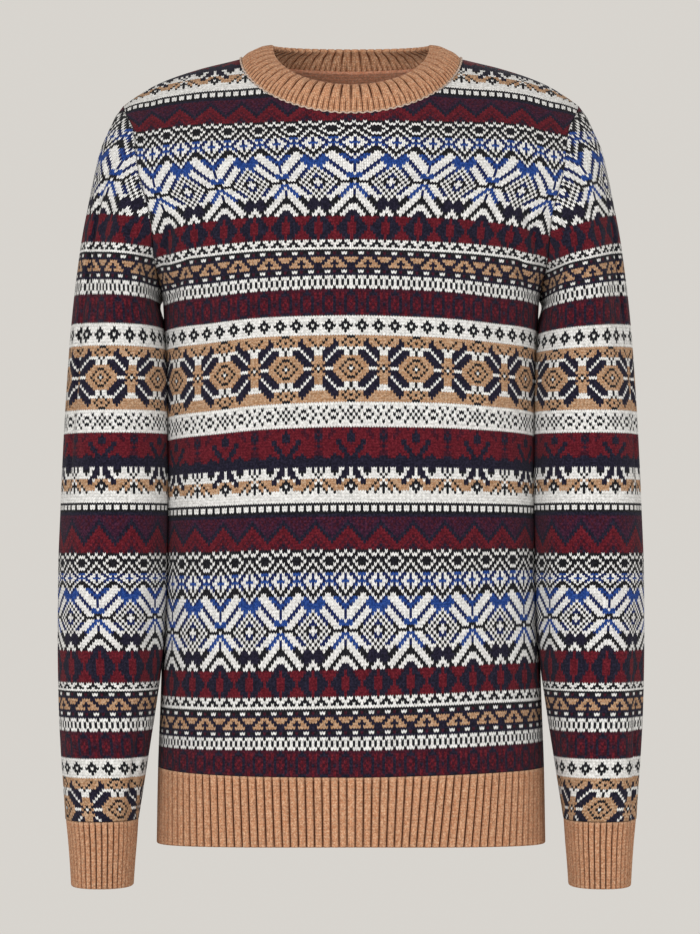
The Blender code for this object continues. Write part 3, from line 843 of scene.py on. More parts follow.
@dataclass
class KnitSheet:
    """A sheet of stitches: one quad each, with its yarns, and a wall behind."""

    name: str
    points: Array  # the stitches' corners, shape (columns + 1, rows + 1, 3)
    codes: Array  # yarn codes, shape (rows, columns)
    wall: float = 0.0026
    outer_share: float = 0.70  # of the flat layout's width, for the outer side
    inner_share: float = 0.27
    margin: float = 0.002

    def build(self) -> bpy.types.Object:
        """Makes the sheet from a grid that is shaped to its stitches, and gives it its wall."""
        columns, rows = self.points.shape[0] - 1, self.points.shape[1] - 1
        piece = grid_piece(self.name, self.points)
        mesh = piece.data
        self.write_stitches(mesh, columns)
        merge_doubles(piece)
        outer_faces = len(mesh.polygons)
        give_wall(piece, self.wall)
        self.lay_flat(mesh, outer_faces, columns, rows)
        bpy.ops.object.shade_smooth()
        return piece

    def write_stitches(self, mesh: bpy.types.Mesh, columns: int) -> None:
        """Writes each stitch's place on a UV map, and its yarn and its neighbours' as codes.

        Args:
            mesh: The grid's mesh, still whole.
            columns: Stitches across.
        """
        # Only one map before the wall: the flat layout is made when every face is there
        place = np.stack(lattice_places(mesh, columns + 1), axis=1)
        write_map(mesh, place)
        first = place.reshape(-1, 4, 2).min(axis=1)
        padded = np.concatenate([self.codes[:1], self.codes, self.codes[-1:]])
        for name, shift in (("yarn_below", 0), ("yarn", 1), ("yarn_above", 2)):
            attribute = mesh.attributes.new(name, "FLOAT", "FACE")
            values = padded[np.minimum(first[:, 1] + shift, len(padded) - 1), first[:, 0]]
            attribute.data.foreach_set("value", values.astype(np.float32))

    def lay_flat(self, mesh: bpy.types.Mesh, outer_faces: int, columns: int, rows: int) -> None:
        """Lays the outer side, the inner side and the rims apart on one flat map.

        Args:
            mesh: The finished mesh, its outer faces first, then the inner ones, then the rims.
            outer_faces: How many faces a side has.
            columns: Stitches across.
            rows: Rows of stitches.
        """
        place = np.empty(len(mesh.loops) * 2, np.float32)
        mesh.uv_layers[STITCH_MAP].uv.foreach_get("vector", place)
        place = place.reshape(-1, 2) / (columns, rows)
        starts, totals = (np.empty(len(mesh.polygons), np.int32) for _ in range(2))
        mesh.polygons.foreach_get("loop_start", starts)
        mesh.polygons.foreach_get("loop_total", totals)
        face = np.repeat(np.arange(len(totals)), totals)
        outer, inner = face < outer_faces, (face >= outer_faces) & (face < 2 * outer_faces)
        flat = np.empty_like(place)
        flat[outer] = self.margin + place[outer] * (self.outer_share, 1 - 2 * self.margin)
        inner_start = self.outer_share + 3 * self.margin
        flat[inner] = (inner_start, self.margin) + place[inner] * (self.inner_share, 1 - 2 * self.margin)
        rim = ~(outer | inner)
        rims = max(len(totals) - 2 * outer_faces, 1)
        corner = np.arange(len(face)) - starts[face]
        rim_start = inner_start + self.inner_share + 2 * self.margin
        across = rim_start + (1 - self.margin - rim_start) * np.isin(corner, (1, 2))
        up = (face - 2 * outer_faces + 0.9 * np.isin(corner, (2, 3))) / rims
        flat[rim] = np.stack([across, up], axis=1)[rim]
        layer = mesh.uv_layers.new(name=BAKE_MAP)
        layer.uv.foreach_set("vector", flat.astype(np.float32).reshape(-1))


def deselect() -> None:
    """Leaves nothing selected, so that an operator acts only on what comes next."""
    bpy.ops.object.select_all(action="DESELECT")


def grid_piece(name: str, points: Array) -> bpy.types.Object:
    """Adds a grid and shapes it to a lattice of points.

    Args:
        name: The piece's name.
        points: Its points, shape (columns + 1, rows + 1, 3).

    Returns:
        The piece, still one open sheet.
    """
    deselect()
    columns, rows = points.shape[0] - 1, points.shape[1] - 1
    bpy.ops.mesh.primitive_grid_add(x_subdivisions=columns, y_subdivisions=rows, size=1.0)
    piece = bpy.context.object
    piece.name = piece.data.name = name
    piece.data.vertices.foreach_set("co", points.swapaxes(0, 1).reshape(-1).astype(np.float32))
    return piece


def lattice_places(mesh: bpy.types.Mesh, across: int) -> tuple[Array, Array]:
    """Finds where the corners of a grid's faces lie.

    Args:
        mesh: The grid's mesh, still whole.
        across: Points in one of its rows.

    Returns:
        Each corner's column and row.
    """
    corners = np.empty(len(mesh.loops), np.int32)
    mesh.loops.foreach_get("vertex_index", corners)
    return corners % across, corners // across


def write_map(mesh: bpy.types.Mesh, places: Array) -> None:
    """Names a grid's map and writes each corner's place on it, in stitches."""
    mesh.uv_layers[0].name = STITCH_MAP
    mesh.uv_layers[STITCH_MAP].uv.foreach_set("vector", places.astype(np.float32).reshape(-1))


def merge_doubles(piece: bpy.types.Object) -> None:
    """Merges the points that a seam gathered, in edit mode, which drops the faces they closed."""
    bpy.context.view_layer.objects.active = piece
    bpy.ops.object.mode_set(mode="EDIT")
    bpy.ops.mesh.select_all(action="SELECT")
    bpy.ops.mesh.remove_doubles(threshold=WELD)
    bpy.ops.object.mode_set(mode="OBJECT")


def give_wall(piece: bpy.types.Object, wall: float) -> None:
    """Thickens a sheet inwards by its wall and applies it."""
    bpy.ops.object.modifier_add(type="SOLIDIFY")
    solidify = piece.modifiers[-1]
    solidify.thickness = wall
    solidify.offset = -1.0
    solidify.use_even_offset = False
    bpy.ops.object.modifier_apply(modifier=solidify.name)


@dataclass
class Panel:
    """A body panel, knitted from the hem rib up."""

    side: Side
    body: BodyForm
    half_columns: int = 106
    spare_rows: int = 46  # above the highest stated row, up to the shoulders
    lower_levels: int = 220
    upper_levels: int = 150
    stitch: float = 0.002295
    droop_reach: tuple[float, ...] = (-0.19, -0.13, -0.07, 0.0, 0.07, 0.13, 0.19)
    droop_rows: Rows = (
        # z, how far the rows hang down at each reach from the middle
        (-0.623, -0.0043, -0.0022, -0.0014, -0.0012, -0.0024, -0.0036, -0.0045),
        (-0.600, 0.0000, -0.0002, -0.0010, -0.0010, -0.0024, -0.0038, -0.0044),
        (-0.580, 0.0020, 0.0020, 0.0006, -0.0006, -0.0022, -0.0038, -0.0040),
        (-0.540, 0.0028, 0.0028, 0.0018, 0.0004, -0.0016, -0.0034, -0.0036),
        (-0.500, 0.0028, 0.0028, 0.0008, -0.0004, -0.0016, -0.0036, -0.0038),
        (-0.455, 0.0036, 0.0034, 0.0012, 0.0002, 0.0002, -0.0014, -0.0018),
        (-0.410, 0.0026, 0.0020, 0.0006, 0.0000, 0.0001, 0.0000, 0.0006),
        (-0.375, 0.0048, 0.0031, 0.0008, -0.0005, -0.0004, 0.0004, 0.0020),
        (-0.340, 0.0090, 0.0060, 0.0026, 0.0012, 0.0018, 0.0026, 0.0056),
        (-0.315, 0.0097, 0.0062, 0.0014, -0.0008, -0.0004, 0.0022, 0.0054),
        (-0.277, 0.0090, 0.0062, 0.0016, -0.0003, 0.0012, 0.0042, 0.0072),
        (-0.240, 0.0085, 0.0060, 0.0020, 0.0008, 0.0024, 0.0056, 0.0084),
        (-0.200, 0.0081, 0.0058, 0.0026, 0.0008, 0.0026, 0.0060, 0.0084),
        (-0.170, 0.0074, 0.0052, 0.0028, 0.0020, 0.0036, 0.0052, 0.0074),
        (-0.150, 0.0054, 0.0036, 0.0016, 0.0012, 0.0026, 0.0048, 0.0070),
        (-0.120, -0.0016, 0.0028, 0.0002, -0.0012, -0.0006, 0.0006, 0.0011),
        (-0.090, -0.0050, -0.0010, -0.0006, -0.0010, -0.0020, -0.0030, -0.0020),
        (-0.0645, -0.0085, -0.0048, -0.0025, -0.0012, -0.0040, -0.0064, -0.0044),
        (-0.030, -0.0020, -0.0004, 0.0000, -0.0004, -0.0012, -0.0018, 0.0005),
        (0.020, 0.0000, 0.0000, 0.0000, 0.0000, 0.0000, 0.0000, 0.0000),
    )
    drawn_rows: Rows = (
        # z, how much wider the stitches are drawn all over, the same by the middle, shift sideways
        (-0.300, 0.000, 0.000, 0.0000),
        (-0.200, 0.010, 0.010, 0.0000),
        (-0.155, 0.010, 0.025, 0.0008),
        (-0.125, 0.020, 0.080, 0.0028),
        (-0.102, 0.090, 0.180, 0.0030),
        (-0.079, 0.150, 0.200, 0.0034),
        (-0.066, 0.150, 0.270, 0.0022),
        (0.020, 0.150, 0.270, 0.0022),
    )
    drawn_reach: float = 0.26  # where the stitches are back at their own width
    middle_reach: float = 0.056  # how far the middle's own widening goes
    flat: tuple[float, float] = (0.46, 0.70)
    cut_area: float = 0.270

    def droop(self, reach: Array, heights: Array) -> Array:
        """How far the rows hang below level.

        Args:
            reach: Distances from the middle, along the cloth.
            heights: Heights on the middle line.

        Returns:
            Distances down, shape (reach, heights).
        """
        stated = SmoothTable(self.droop_rows).at(heights)
        across = tuple((place, *row) for place, row in zip(self.droop_reach, stated))
        return SmoothTable(across).at(np.clip(reach, self.droop_reach[0], self.droop_reach[-1])).T

    def levels(self) -> Array:
        """Heights of the lines across that the form is read on, closer towards the shoulders."""
        top, reach = self.body.shoulder_line[0][1], self.body.shoulder_reach
        lower = np.linspace(self.body.hem_rib_top_z, top - reach, self.lower_levels, endpoint=False)
        upper = top - reach * (1 - np.cos(np.linspace(np.pi / 2, 0, self.upper_levels)))
        return np.concatenate([lower, upper])

    def corners(self) -> Array:
        """The stitches' corners, shape (columns + 1, rows + 1, 3), from the wearer's right."""
        reach = (np.arange(2 * self.half_columns) - self.half_columns + 0.5) * self.stitch
        levels = self.levels()
        lines = self.body.surface(self.side, ACROSS[None, :], levels[:, None] + 0 * ACROSS[None, :])
        wide, middle, shift = SmoothTable(self.drawn_rows).at(levels)[:, :, None]
        wider = wide * (1 - (reach / self.drawn_reach) ** 2)
        wider = wider + middle * np.exp(-((reach / self.middle_reach) ** 2))
        turns = turns_of_columns(lines, ACROSS, reach * (1 + wider) + shift)
        paths = self.body.surface(self.side, turns, levels[:, None] + 0 * turns).swapaxes(0, 1)
        lengths = run_lengths(paths)
        middle = self.body.surface(self.side, 0 * levels, levels)
        up = run_lengths(middle[None])[0]
        stated = Banding(BODY_BANDS, self.body.hem_rib_top_z).edges()
        rows = np.interp(stated, levels, up)
        rows = np.concatenate([rows, rows[-1] + COURSE * np.arange(1, self.spare_rows + 1)])
        heights = np.interp(rows, up, levels)
        droop = self.droop(reach, heights)
        points, seam = [], []
        for index in range(len(reach)):
            along = rows - droop[index]
            points.append(read_along(along, lengths[index], paths[index]))
            seam.append(np.interp(along, lengths[index], np.abs(turns[:, index])))
        points, seam = np.array(points), np.array(seam)
        neckline = self.body.neckline_z(self.side, points[..., 0])
        points = Fraying.trim(points, neckline - points[..., 2])
        half = self.half_columns
        for half_points, half_seam in (
            (points[half:], seam[half:]),
            (points[:half][::-1], seam[:half][::-1]),
        ):
            lines = np.ascontiguousarray(half_points.swapaxes(0, 1))
            lines = Fraying.gather(lines, half_seam.swapaxes(0, 1) > np.pi / 2 - 1e-5)
            room = self.body.armhole_x(lines[..., 2]) - np.abs(lines[..., 0])
            half_points[:] = Fraying.trim(lines, room).swapaxes(0, 1)
        return points

    def build(self) -> bpy.types.Object:
        points = self.corners()
        columns = np.arange(points.shape[0] - 1) - self.half_columns + 1
        codes = Banding(BODY_BANDS, self.body.hem_rib_top_z).codes(columns)
        if self.side is Side.BACK:
            points, codes = points[::-1], codes[:, ::-1]
        piece = KnitSheet(f"knit_{self.side.value}_panel", points, codes).build()
        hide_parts(f"{self.side.value}_panel")
        return piece


@dataclass
class Sleeve:
    """A sleeve, knitted from the cuff up, with its seam under the arm."""

    form: SleeveForm
    star_column: int  # the column that a star stands on, counted from the line over the arm
    half_columns: int = 84
    turn_steps: int = 301
    level_steps: int = 240
    seam_steps: int = 7
    slope_weight: float = 0.6  # how much the cap's slope counts in parting the columns
    spare_rows: int = 16  # above the highest stated row, up to the shoulder
    slope_share: float = 1.0  # how far this sleeve's upper rows slope
    outward: int = 1  # how many times over the moved bands move
    slope_rows: Rows = (
        # z, how much lower the rows lie under the arm than over it
        (-0.320, 0.000),
        (-0.270, 0.003),
        (-0.225, 0.010),
        (-0.190, 0.017),
        (-0.150, 0.025),
        (-0.100, 0.029),
        (0.020, 0.029),
    )
    flat: tuple[float, float] = (0.37, 0.62)
    cut_area: float = 0.175

    def corners(self) -> Array:
        """The stitches' corners, shape (columns + 1, rows + 1, 3), from the back seam to the front."""
        reach = (np.arange(2 * self.half_columns + 1) - self.half_columns) * STITCH
        turn = np.linspace(-np.pi, np.pi, self.turn_steps)
        down = np.linspace(len(self.form.rings), 1, self.level_steps)
        places = np.concatenate([down, np.linspace(0.85, 0, self.seam_steps)])
        lines = np.stack([self.form.ring(turn, place, self.form.rings) for place in places])
        turns = turns_of_columns(lines * (1, 1, self.slope_weight), turn, reach)
        paths = np.stack(
            [self.form.ring(turns[i], place, self.form.rings) for i, place in enumerate(places)], axis=1
        )
        rows = Banding(SLEEVE_BANDS, self.form.rings[-1][1], SLEEVE_FIRST_ROWS).edges()
        rows = np.concatenate([rows, rows[-1] + COURSE * np.arange(1, self.spare_rows + 1)])
        slope = SmoothTable(self.slope_rows).at(rows)[0] * self.slope_share
        points, seam = [], []
        for index in range(len(reach)):
            heights = np.maximum.accumulate(paths[index][:, 2])
            inward = (1 - np.cos(np.interp(rows, heights, turns[:, index]))) / 2
            lower = rows - slope * inward
            points.append(read_along(lower, heights, paths[index]))
            seam.append(np.interp(lower, heights, np.abs(turns[:, index])))
        points, seam = np.array(points), np.array(seam)
        half = self.half_columns
        for half_points, half_seam in (
            (points[half:], seam[half:]),
            (points[: half + 1][::-1], seam[: half + 1][::-1]),
        ):
            lines = np.ascontiguousarray(half_points.swapaxes(0, 1))
            lines = Fraying.gather(lines, half_seam.swapaxes(0, 1) > np.pi - 1e-5)
            half_points[:] = lines.swapaxes(0, 1)
        return points

    def build(self) -> bpy.types.Object:
        points = self.corners()
        hand = self.form.arm.hand
        columns = np.arange(points.shape[0] - 1) - self.half_columns
        # Charts read from the wearer's right to the left, and each starts two columns off the middle
        pattern = (self.star_column - columns) * hand - 2
        banding = Banding(SLEEVE_BANDS, self.form.rings[-1][1], SLEEVE_FIRST_ROWS, toward=hand * self.outward)
        codes = banding.codes(pattern)
        if hand > 0:
            points, codes = points[::-1], codes[:, ::-1]
        piece = KnitSheet(f"knit_{self.form.arm.value}_sleeve", points, codes).build()
        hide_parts(f"{self.form.arm.value}_sleeve")
        return piece


@dataclass(frozen=True)
class Relief:
    """The shape of one rib, repeated round a band.

    Attributes:
        depth: How deep the groove between two ribs is.
        profile: Places across one rib and the share of the groove's depth there.
        fade: Share of the way up the band, and how much of the groove is left there.
        slit_depth: How deep the fine slits are, two to a rib.
        slit_fade: The same for the slits.
        slit_half_width: Half of a slit's width, in half ribs.
        slit_shade: How much painted shade a slit gets, as a share of a groove's.
    """

    depth: float
    profile: Rows = (
        # place, share of depth
        (0.00, 1.00),
        (0.048, 0.84),
        (0.100, 0.38),
        (0.170, 0.08),
        (0.350, 0.00),
        (0.500, 0.08),
        (0.650, 0.00),
        (0.830, 0.08),
        (0.900, 0.38),
        (0.952, 0.84),
    )
    fade: Rows = ((0.0, 1.0), (1.0, 1.0))
    slit_depth: float = 0.0
    slit_fade: Rows = ((0.0, 0.0), (1.0, 0.0))
    slit_half_width: float = 0.16
    slit_shade: float = 0.8

    def places(self, ribs: int) -> tuple[Array, Array]:
        """Columns of the band's mesh.

        Args:
            ribs: How many ribs the band has.

        Returns:
            Each column's place in ribs from the start, and its share of the groove's depth.
        """
        across, share = np.array(self.profile).T
        places = (np.arange(ribs)[:, None] + across).reshape(-1)
        shares = np.tile(share, ribs)
        return np.append(places, float(ribs)), np.append(shares, share[0])

    def hollow(self, places: Array, shares: Array, along: Array) -> tuple[Array, Array]:
        """How deep in a groove or a slit each point of the band lies.

        Args:
            places: Each column's place in ribs.
            shares: Each column's share of the groove's depth.
            along: Shares of the way from the band's seam to its edge.

        Returns:
            Depths, and shares of the full depth, which mask the painted shade, both of shape (columns,
            along).
        """
        groove = shares[:, None] * SmoothTable(self.fade).at(along)[0]
        slit = np.exp(-((((places * 2 + 0.5) % 1.0 - 0.5) / self.slit_half_width) ** 2))
        slit = slit[:, None] * SmoothTable(self.slit_fade).at(along)[0]
        return self.depth * groove + self.slit_depth * slit, np.maximum(groove, self.slit_shade * slit)


@dataclass
class RibBand:
    """A band of rib knit: a folded sheet with its grooves in the mesh, closed all round its section."""

    name: str
    ribs: int
    wall: float
    relief: Relief
    closed: bool
    outer_rows: int = 16
    inner_rows: int = 7
    turn_steps: int = 5
    samples: int = 40  # lines along the plain face
    wales: int = 3  # columns of stitches to a rib
    edge_share: float = 0.3  # most of the band's height that its turned edge may take
    edge_strength: float = 0.75  # of the relief round the edge
    inner_strength: float = 0.6  # of the relief inside

    def section(self, height: float) -> tuple[Array, Array, Array]:
        """The band's section, from its seam down the outside, round the edge and up the inside.

        Args:
            height: Distance from the seam to the edge.

        Returns:
            Shares of the way to the edge, how far in as a share of the wall, and the relief's strength.
        """
        radius = min(self.wall / 2 / height, self.edge_share)
        bottom = 1 - radius
        down = np.linspace(0, bottom, self.outer_rows)
        angles = np.linspace(0, np.pi, self.turn_steps + 2)[1:-1]
        turn = bottom + radius * np.sin(angles)
        up = np.linspace(bottom, 0, self.inner_rows)
        shares = np.concatenate([down, turn, up, down[:1]])
        inward = np.concatenate([0 * down, (1 - np.cos(angles)) / 2, 0 * up + 1, [0.0]])
        strength = [0 * down + 1, self.edge_strength + 0 * turn, self.inner_strength + 0 * up, [1.0]]
        return shares, inward, np.concatenate(strength)

    def build(self, base: Shape) -> bpy.types.Object:
        """Makes the band.

        Args:
            base: Gives the plain outer face: points for places in ribs and shares of the way.

        Returns:
            The finished piece.
        """
        places, share = self.relief.places(self.ribs)
        samples = np.linspace(0, 1, self.samples)
        plain = base(places, samples)
        normals = self.normals(plain)
        height = float(np.median(run_lengths(plain)[:, -1]))
        shares, inward, strength = self.section(height)
        sink, hollow = self.relief.hollow(places, share, shares)
        sink = sink * strength
        points = np.empty((len(places), len(shares), 3))
        for index in range(len(places)):
            surface = read_along(shares, samples, plain[index])
            normal = read_along(shares, samples, normals[index])
            off = inward * self.wall + sink[index]
            points[index] = surface - normal * off[:, None]
        if self.closed:
            points[-1] = points[0]
        piece = grid_piece(self.name, points)
        self.write_stitches(piece.data, places, shares * height, hollow)
        merge_doubles(piece)
        if not self.closed:
            close_ends(piece)
        face_outward(piece)
        bpy.ops.object.shade_smooth()
        return piece

    def normals(self, plain: Array) -> Array:
        """Finds the outward normals of the plain face.

        Args:
            plain: Its points, shape (columns, samples, 3).

        Returns:
            Unit normals, of the same shape.
        """
        padded = plain
        if self.closed:
            padded = np.concatenate([plain[-2:-1], plain, plain[1:2]])
        across, along = np.gradient(padded, axis=0), np.gradient(padded, axis=1)
        if self.closed:
            across, along = across[1:-1], along[1:-1]
        normal = np.cross(across, along)
        normal /= np.linalg.norm(normal, axis=2, keepdims=True)
        return normal * self.outward(plain, normal)

    def outward(self, plain: Array, normal: Array) -> float:
        """Tells which way the normals point.

        Args:
            plain: The plain face's points, shape (columns, samples, 3).
            normal: Their normals.

        Returns:
            1 where they point out of the band, -1 where they point in.
        """
        middle = plain.mean(axis=(0, 1))
        if not self.closed:
            middle = middle * (1, 0, 1)
        return float(np.sign(np.sum((plain - middle) * normal * (1, 1, 0))))

    def write_stitches(self, mesh: bpy.types.Mesh, places: Array, lengths: Array, hollow: Array) -> None:
        """Writes each point's place in stitches on a UV map, and how deep in a groove it lies.

        Args:
            mesh: The grid's mesh, still whole.
            places: Each column's place in ribs.
            lengths: Each row's distance from the seam.
            hollow: Each point's share of the groove's full depth, shape (columns, rows).
        """
        column, row = lattice_places(mesh, len(places))
        write_map(mesh, np.stack([places[column] * self.wales, lengths[row] / COURSE], axis=1))
        # The share of the groove's depth masks the painted shade in the rib's finish
        groove = mesh.attributes.new("groove", "FLOAT", "POINT")
        groove.data.foreach_set("value", hollow.T.reshape(-1).astype(np.float32))


def close_ends(piece: bpy.types.Object) -> None:
    """Fills the two open ends of a band."""
    bpy.context.view_layer.objects.active = piece
    bpy.ops.object.mode_set(mode="EDIT")
    bpy.ops.mesh.select_all(action="DESELECT")
    bpy.ops.mesh.select_non_manifold()
    bpy.ops.mesh.fill_holes(sides=0)
    bpy.ops.mesh.select_all(action="DESELECT")
    bpy.ops.object.mode_set(mode="OBJECT")


def face_outward(piece: bpy.types.Object) -> None:
    """Turns every face of a closed piece outward."""
    bpy.context.view_layer.objects.active = piece
    bpy.ops.object.mode_set(mode="EDIT")
    bpy.ops.mesh.select_all(action="SELECT")
    bpy.ops.mesh.normals_make_consistent(inside=False)
    bpy.ops.object.mode_set(mode="OBJECT")


@dataclass
class HemRib:
    """The rib under one body panel."""

    panel: Panel
    ribs: int = 63
    wall: float = 0.0032
    flat: tuple[float, float] = (0.44, 0.061)
    drop: float = 0.0022  # of the lower edge's ends
    rise: float = 0.0052  # of its middle over them
    corner: float = 0.006  # how far its corners are rounded off
    corner_reach: float = 0.012
    lean: Rows = (
        # distance from the middle, how far the rib's lower end lies to the wearer's left of its upper
        (-0.230, 0.0000),
        (-0.100, 0.0030),
        (-0.020, 0.0010),
        (0.030, -0.0020),
        (0.085, -0.0068),
        (0.150, -0.0050),
        (0.230, 0.0000),
    )
    relief: Relief = Relief(depth=0.0026, fade=RIB_FADE)

    def base(self, places: Array, shares: Array) -> Array:
        """Gives the plain outer face.

        Args:
            places: Places round the band, in ribs.
            shares: Shares of the way down.

        Returns:
            Points, shape (places, shares, 3).
        """
        body, side = self.panel.body, self.panel.side
        line = body.surface(side, ACROSS, np.full_like(ACROSS, (body.hem_rib_top_z + body.hem_z) / 2))
        length = run_lengths(line[None])[0]
        half = length[-1] / 2
        reach = (places / self.ribs * 2 - 1) * half
        hang = self.panel.droop(reach, np.array([body.hem_rib_top_z]))[:, 0]
        top = body.hem_rib_top_z - SEAM_GAP / 2 - hang
        lean = SmoothTable(self.lean).at(reach)[0]
        rows = []
        for share in shares:
            moved = np.clip(reach + lean * share, -half, half)
            low = body.hem_z - self.drop + self.rise * (1 - (moved / half) ** 2)
            rounding = (np.abs(moved) - half + self.corner_reach) / self.corner_reach
            low += self.corner * np.clip(rounding, 0, 1) ** 3
            at = np.interp(moved + half, length, ACROSS)
            rows.append(body.surface(side, at, top + (low - top) * share))
        return np.stack(rows, axis=1)

    def build(self) -> bpy.types.Object:
        name = f"{self.panel.side.value}_hem_rib"
        piece = RibBand(f"rib_{name}", self.ribs, self.wall, self.relief, closed=False).build(self.base)
        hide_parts(name)
        return piece


@dataclass
class Cuff:
    """The rib at the end of one sleeve."""

    form: SleeveForm
    ribs: int = 42
    wall: float = 0.0032
    flat: tuple[float, float] = (0.232, 0.058)
    relief: Relief = Relief(depth=0.0024, fade=RIB_FADE)

    def base(self, places: Array, shares: Array) -> Array:
        """Gives the plain outer face.

        Args:
            places: Places round the band, in ribs.
            shares: Shares of the way down.

        Returns:
            Points, shape (places, shares, 3).
        """
        rows = self.form.cuff_rings
        turn = np.linspace(-np.pi, np.pi, 361)
        lines = []
        for share in shares:
            place = 1 + share * (len(rows) - 1)
            line = self.form.ring(turn, place, rows)
            length = run_lengths(line[None])[0]
            at = np.interp(places / self.ribs * length[-1], length, turn)
            lines.append(self.form.ring(at, place, rows))
        return np.stack(lines, axis=1)

    def build(self) -> bpy.types.Object:
        name = f"{self.form.arm.value}_cuff"
        piece = RibBand(f"rib_{name}", self.ribs, self.wall, self.relief, closed=True).build(self.base)
        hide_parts(name)
        return piece


@dataclass
class Neckband:
    """The folded band round the neck, and the chain that links it to the panels."""

    form: NeckForm
    ribs: int = 58
    wall: float = 0.0040
    flat: tuple[float, float] = (0.52, 0.045)
    chain_radius: float = 0.0009
    chain_sway: float = 0.0006
    facing_turn: float = 1.25  # how far round from the middle of the back
    facing_top: float = -0.003  # its edges' drop below the seam
    facing_bottom: float = 0.020
    facing_depth: float = 0.0042  # inside the back panel's face
    facing_share: float = 0.985  # of the neckline's width
    facing_wall: float = 0.0012
    relief: Relief = Relief(
        depth=0.0024,
        fade=((0.0, 0.0), (0.24, 0.0), (0.46, 0.75), (0.66, 1.0), (0.94, 1.0), (1.0, 0.6)),
        slit_depth=0.0012,
        slit_fade=((0.0, 0.5), (0.06, 1.0), (0.22, 1.0), (0.34, 0.6), (0.46, 0.0), (1.0, 0.0)),
    )

    def base(self, places: Array, shares: Array) -> Array:
        """The plain outer face, at places in ribs and shares of the way to the rim."""
        turn = self.turns(places / self.ribs)
        return np.stack([self.form.row(turn, share) for share in shares], axis=1)

    def turns(self, shares: Array) -> Array:
        """Parts the band's middle line evenly.

        Args:
            shares: Shares of the way round.

        Returns:
            The turns there.
        """
        turn = np.linspace(0, 2 * np.pi, 721)
        length = run_lengths(self.form.row(turn, 0.6)[None])[0]
        return np.interp(shares * length[-1], length, turn)

    def build(self) -> bpy.types.Object:
        band = RibBand("rib_neckband", self.ribs, self.wall, self.relief, closed=True)
        piece = band.build(self.base)
        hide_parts("neckband")
        return piece

    def chain(self) -> bpy.types.Object:
        """Makes the row of linked stitches along the band's seam, as a tube with a bead to a stitch."""
        beads, steps, sides = self.ribs * 3, 6, 6
        turn = self.turns(np.arange(beads * steps + 1) / (beads * steps))
        seam, above = self.form.row(turn, -0.015), self.form.row(turn, 0.10)
        rise = above - seam
        rise /= np.linalg.norm(rise, axis=1, keepdims=True)
        out = self.form.outward(turn)
        out -= rise * np.sum(out * rise, axis=1, keepdims=True)
        out /= np.linalg.norm(out, axis=1, keepdims=True)
        phase = np.arange(len(turn)) / steps
        swell = (0.55 + 0.45 * np.abs(np.sin(np.pi * phase)))[:, None] * self.chain_radius
        sway = (np.cos(np.pi * phase) * self.chain_sway)[:, None]
        points = []
        for corner in range(sides + 1):
            angle = 2 * np.pi * corner / sides
            lift = math.sin(angle) * swell + self.chain_sway
            around = rise * (math.cos(angle) * swell + sway) + out * lift
            points.append(seam + around)
        points = np.stack(points, axis=1)
        points[-1], points[:, -1] = points[0], points[:, 0]
        points[-1, -1] = points[0, 0]
        return sheet_piece("neck_chain", points)

    def facing(self) -> bpy.types.Object:
        """Makes the strip that faces the back of the neck inside, under the band."""
        turn = np.linspace(np.pi - self.facing_turn, np.pi + self.facing_turn, 91)
        body, rows = self.form.body, []
        seam = self.form.row(turn, 0.0)
        for drop in np.linspace(self.facing_top, self.facing_bottom, 12):
            z = seam[:, 2] - drop
            y = body.depth(Side.BACK, seam[:, 0], z) - self.facing_depth
            rows.append(np.stack([seam[:, 0] * self.facing_share, y, z], axis=1))
        piece = sheet_piece("neck_facing", np.stack(rows, axis=1))
        give_wall(piece, self.facing_wall)
        face_outward(piece)
        return piece


def sheet_piece(name: str, points: Array) -> bpy.types.Object:
    """Makes a piece from a grid of points.

    Args:
        name: The piece's name.
        points: Its points, shape (columns, rows, 3).

    Returns:
        The piece, with a map in stitches.
    """
    piece = grid_piece(name, points)
    column, row = lattice_places(piece.data, points.shape[0])
    # The map starts two rows up, past the pale row that a band has at its seam
    write_map(piece.data, np.stack([column * 2.0, 2.0 + row], axis=1))
    piece.data.attributes.new("groove", "FLOAT", "POINT")
    merge_doubles(piece)
    face_outward(piece)
    bpy.ops.object.shade_smooth()
    return piece


class Wire:
    """A number on its way through a material, written as a plain expression."""

    def __init__(self, tree: bpy.types.NodeTree, socket: bpy.types.NodeSocket) -> None:
        """Holds the socket that the number comes from."""
        self.tree, self.socket = tree, socket

    def math(self, operation: str, *values: Wire | float) -> Wire:
        """Adds a Math node.

        Args:
            operation: The node's operation.
            values: Its inputs, numbers or wires.

        Returns:
            The result's wire.
        """
        node = add_node(self.tree, "ShaderNodeMath", {"operation": operation}, dict(enumerate(values)))
        return Wire(self.tree, node.outputs[0])

    def __add__(self, other: Wire | float) -> Wire:
        """This number and another."""
        return self.math("ADD", self, other)

    def __radd__(self, other: float) -> Wire:
        """Another number and this."""
        return self.math("ADD", other, self)

    def __sub__(self, other: Wire | float) -> Wire:
        """This number less another."""
        return self.math("SUBTRACT", self, other)

    def __rsub__(self, other: float) -> Wire:
        """Another number less this."""
        return self.math("SUBTRACT", other, self)

    def __mul__(self, other: Wire | float) -> Wire:
        """This number times another."""
        return self.math("MULTIPLY", self, other)

    def __rmul__(self, other: float) -> Wire:
        """Another number times this."""
        return self.math("MULTIPLY", other, self)

    def fraction(self) -> Wire:
        """What is left over a whole number."""
        return self.math("FRACT", self)

    def size(self) -> Wire:
        """The number without its sign."""
        return self.math("ABSOLUTE", self)

    def held(self) -> Wire:
        """The number, held between 0 and 1."""
        return self.math("MINIMUM", self.math("MAXIMUM", self, 0.0), 1.0)

    def above(self, other: Wire | float) -> Wire:
        """1 where this number is over another, else 0."""
        return self.math("GREATER_THAN", self, other)


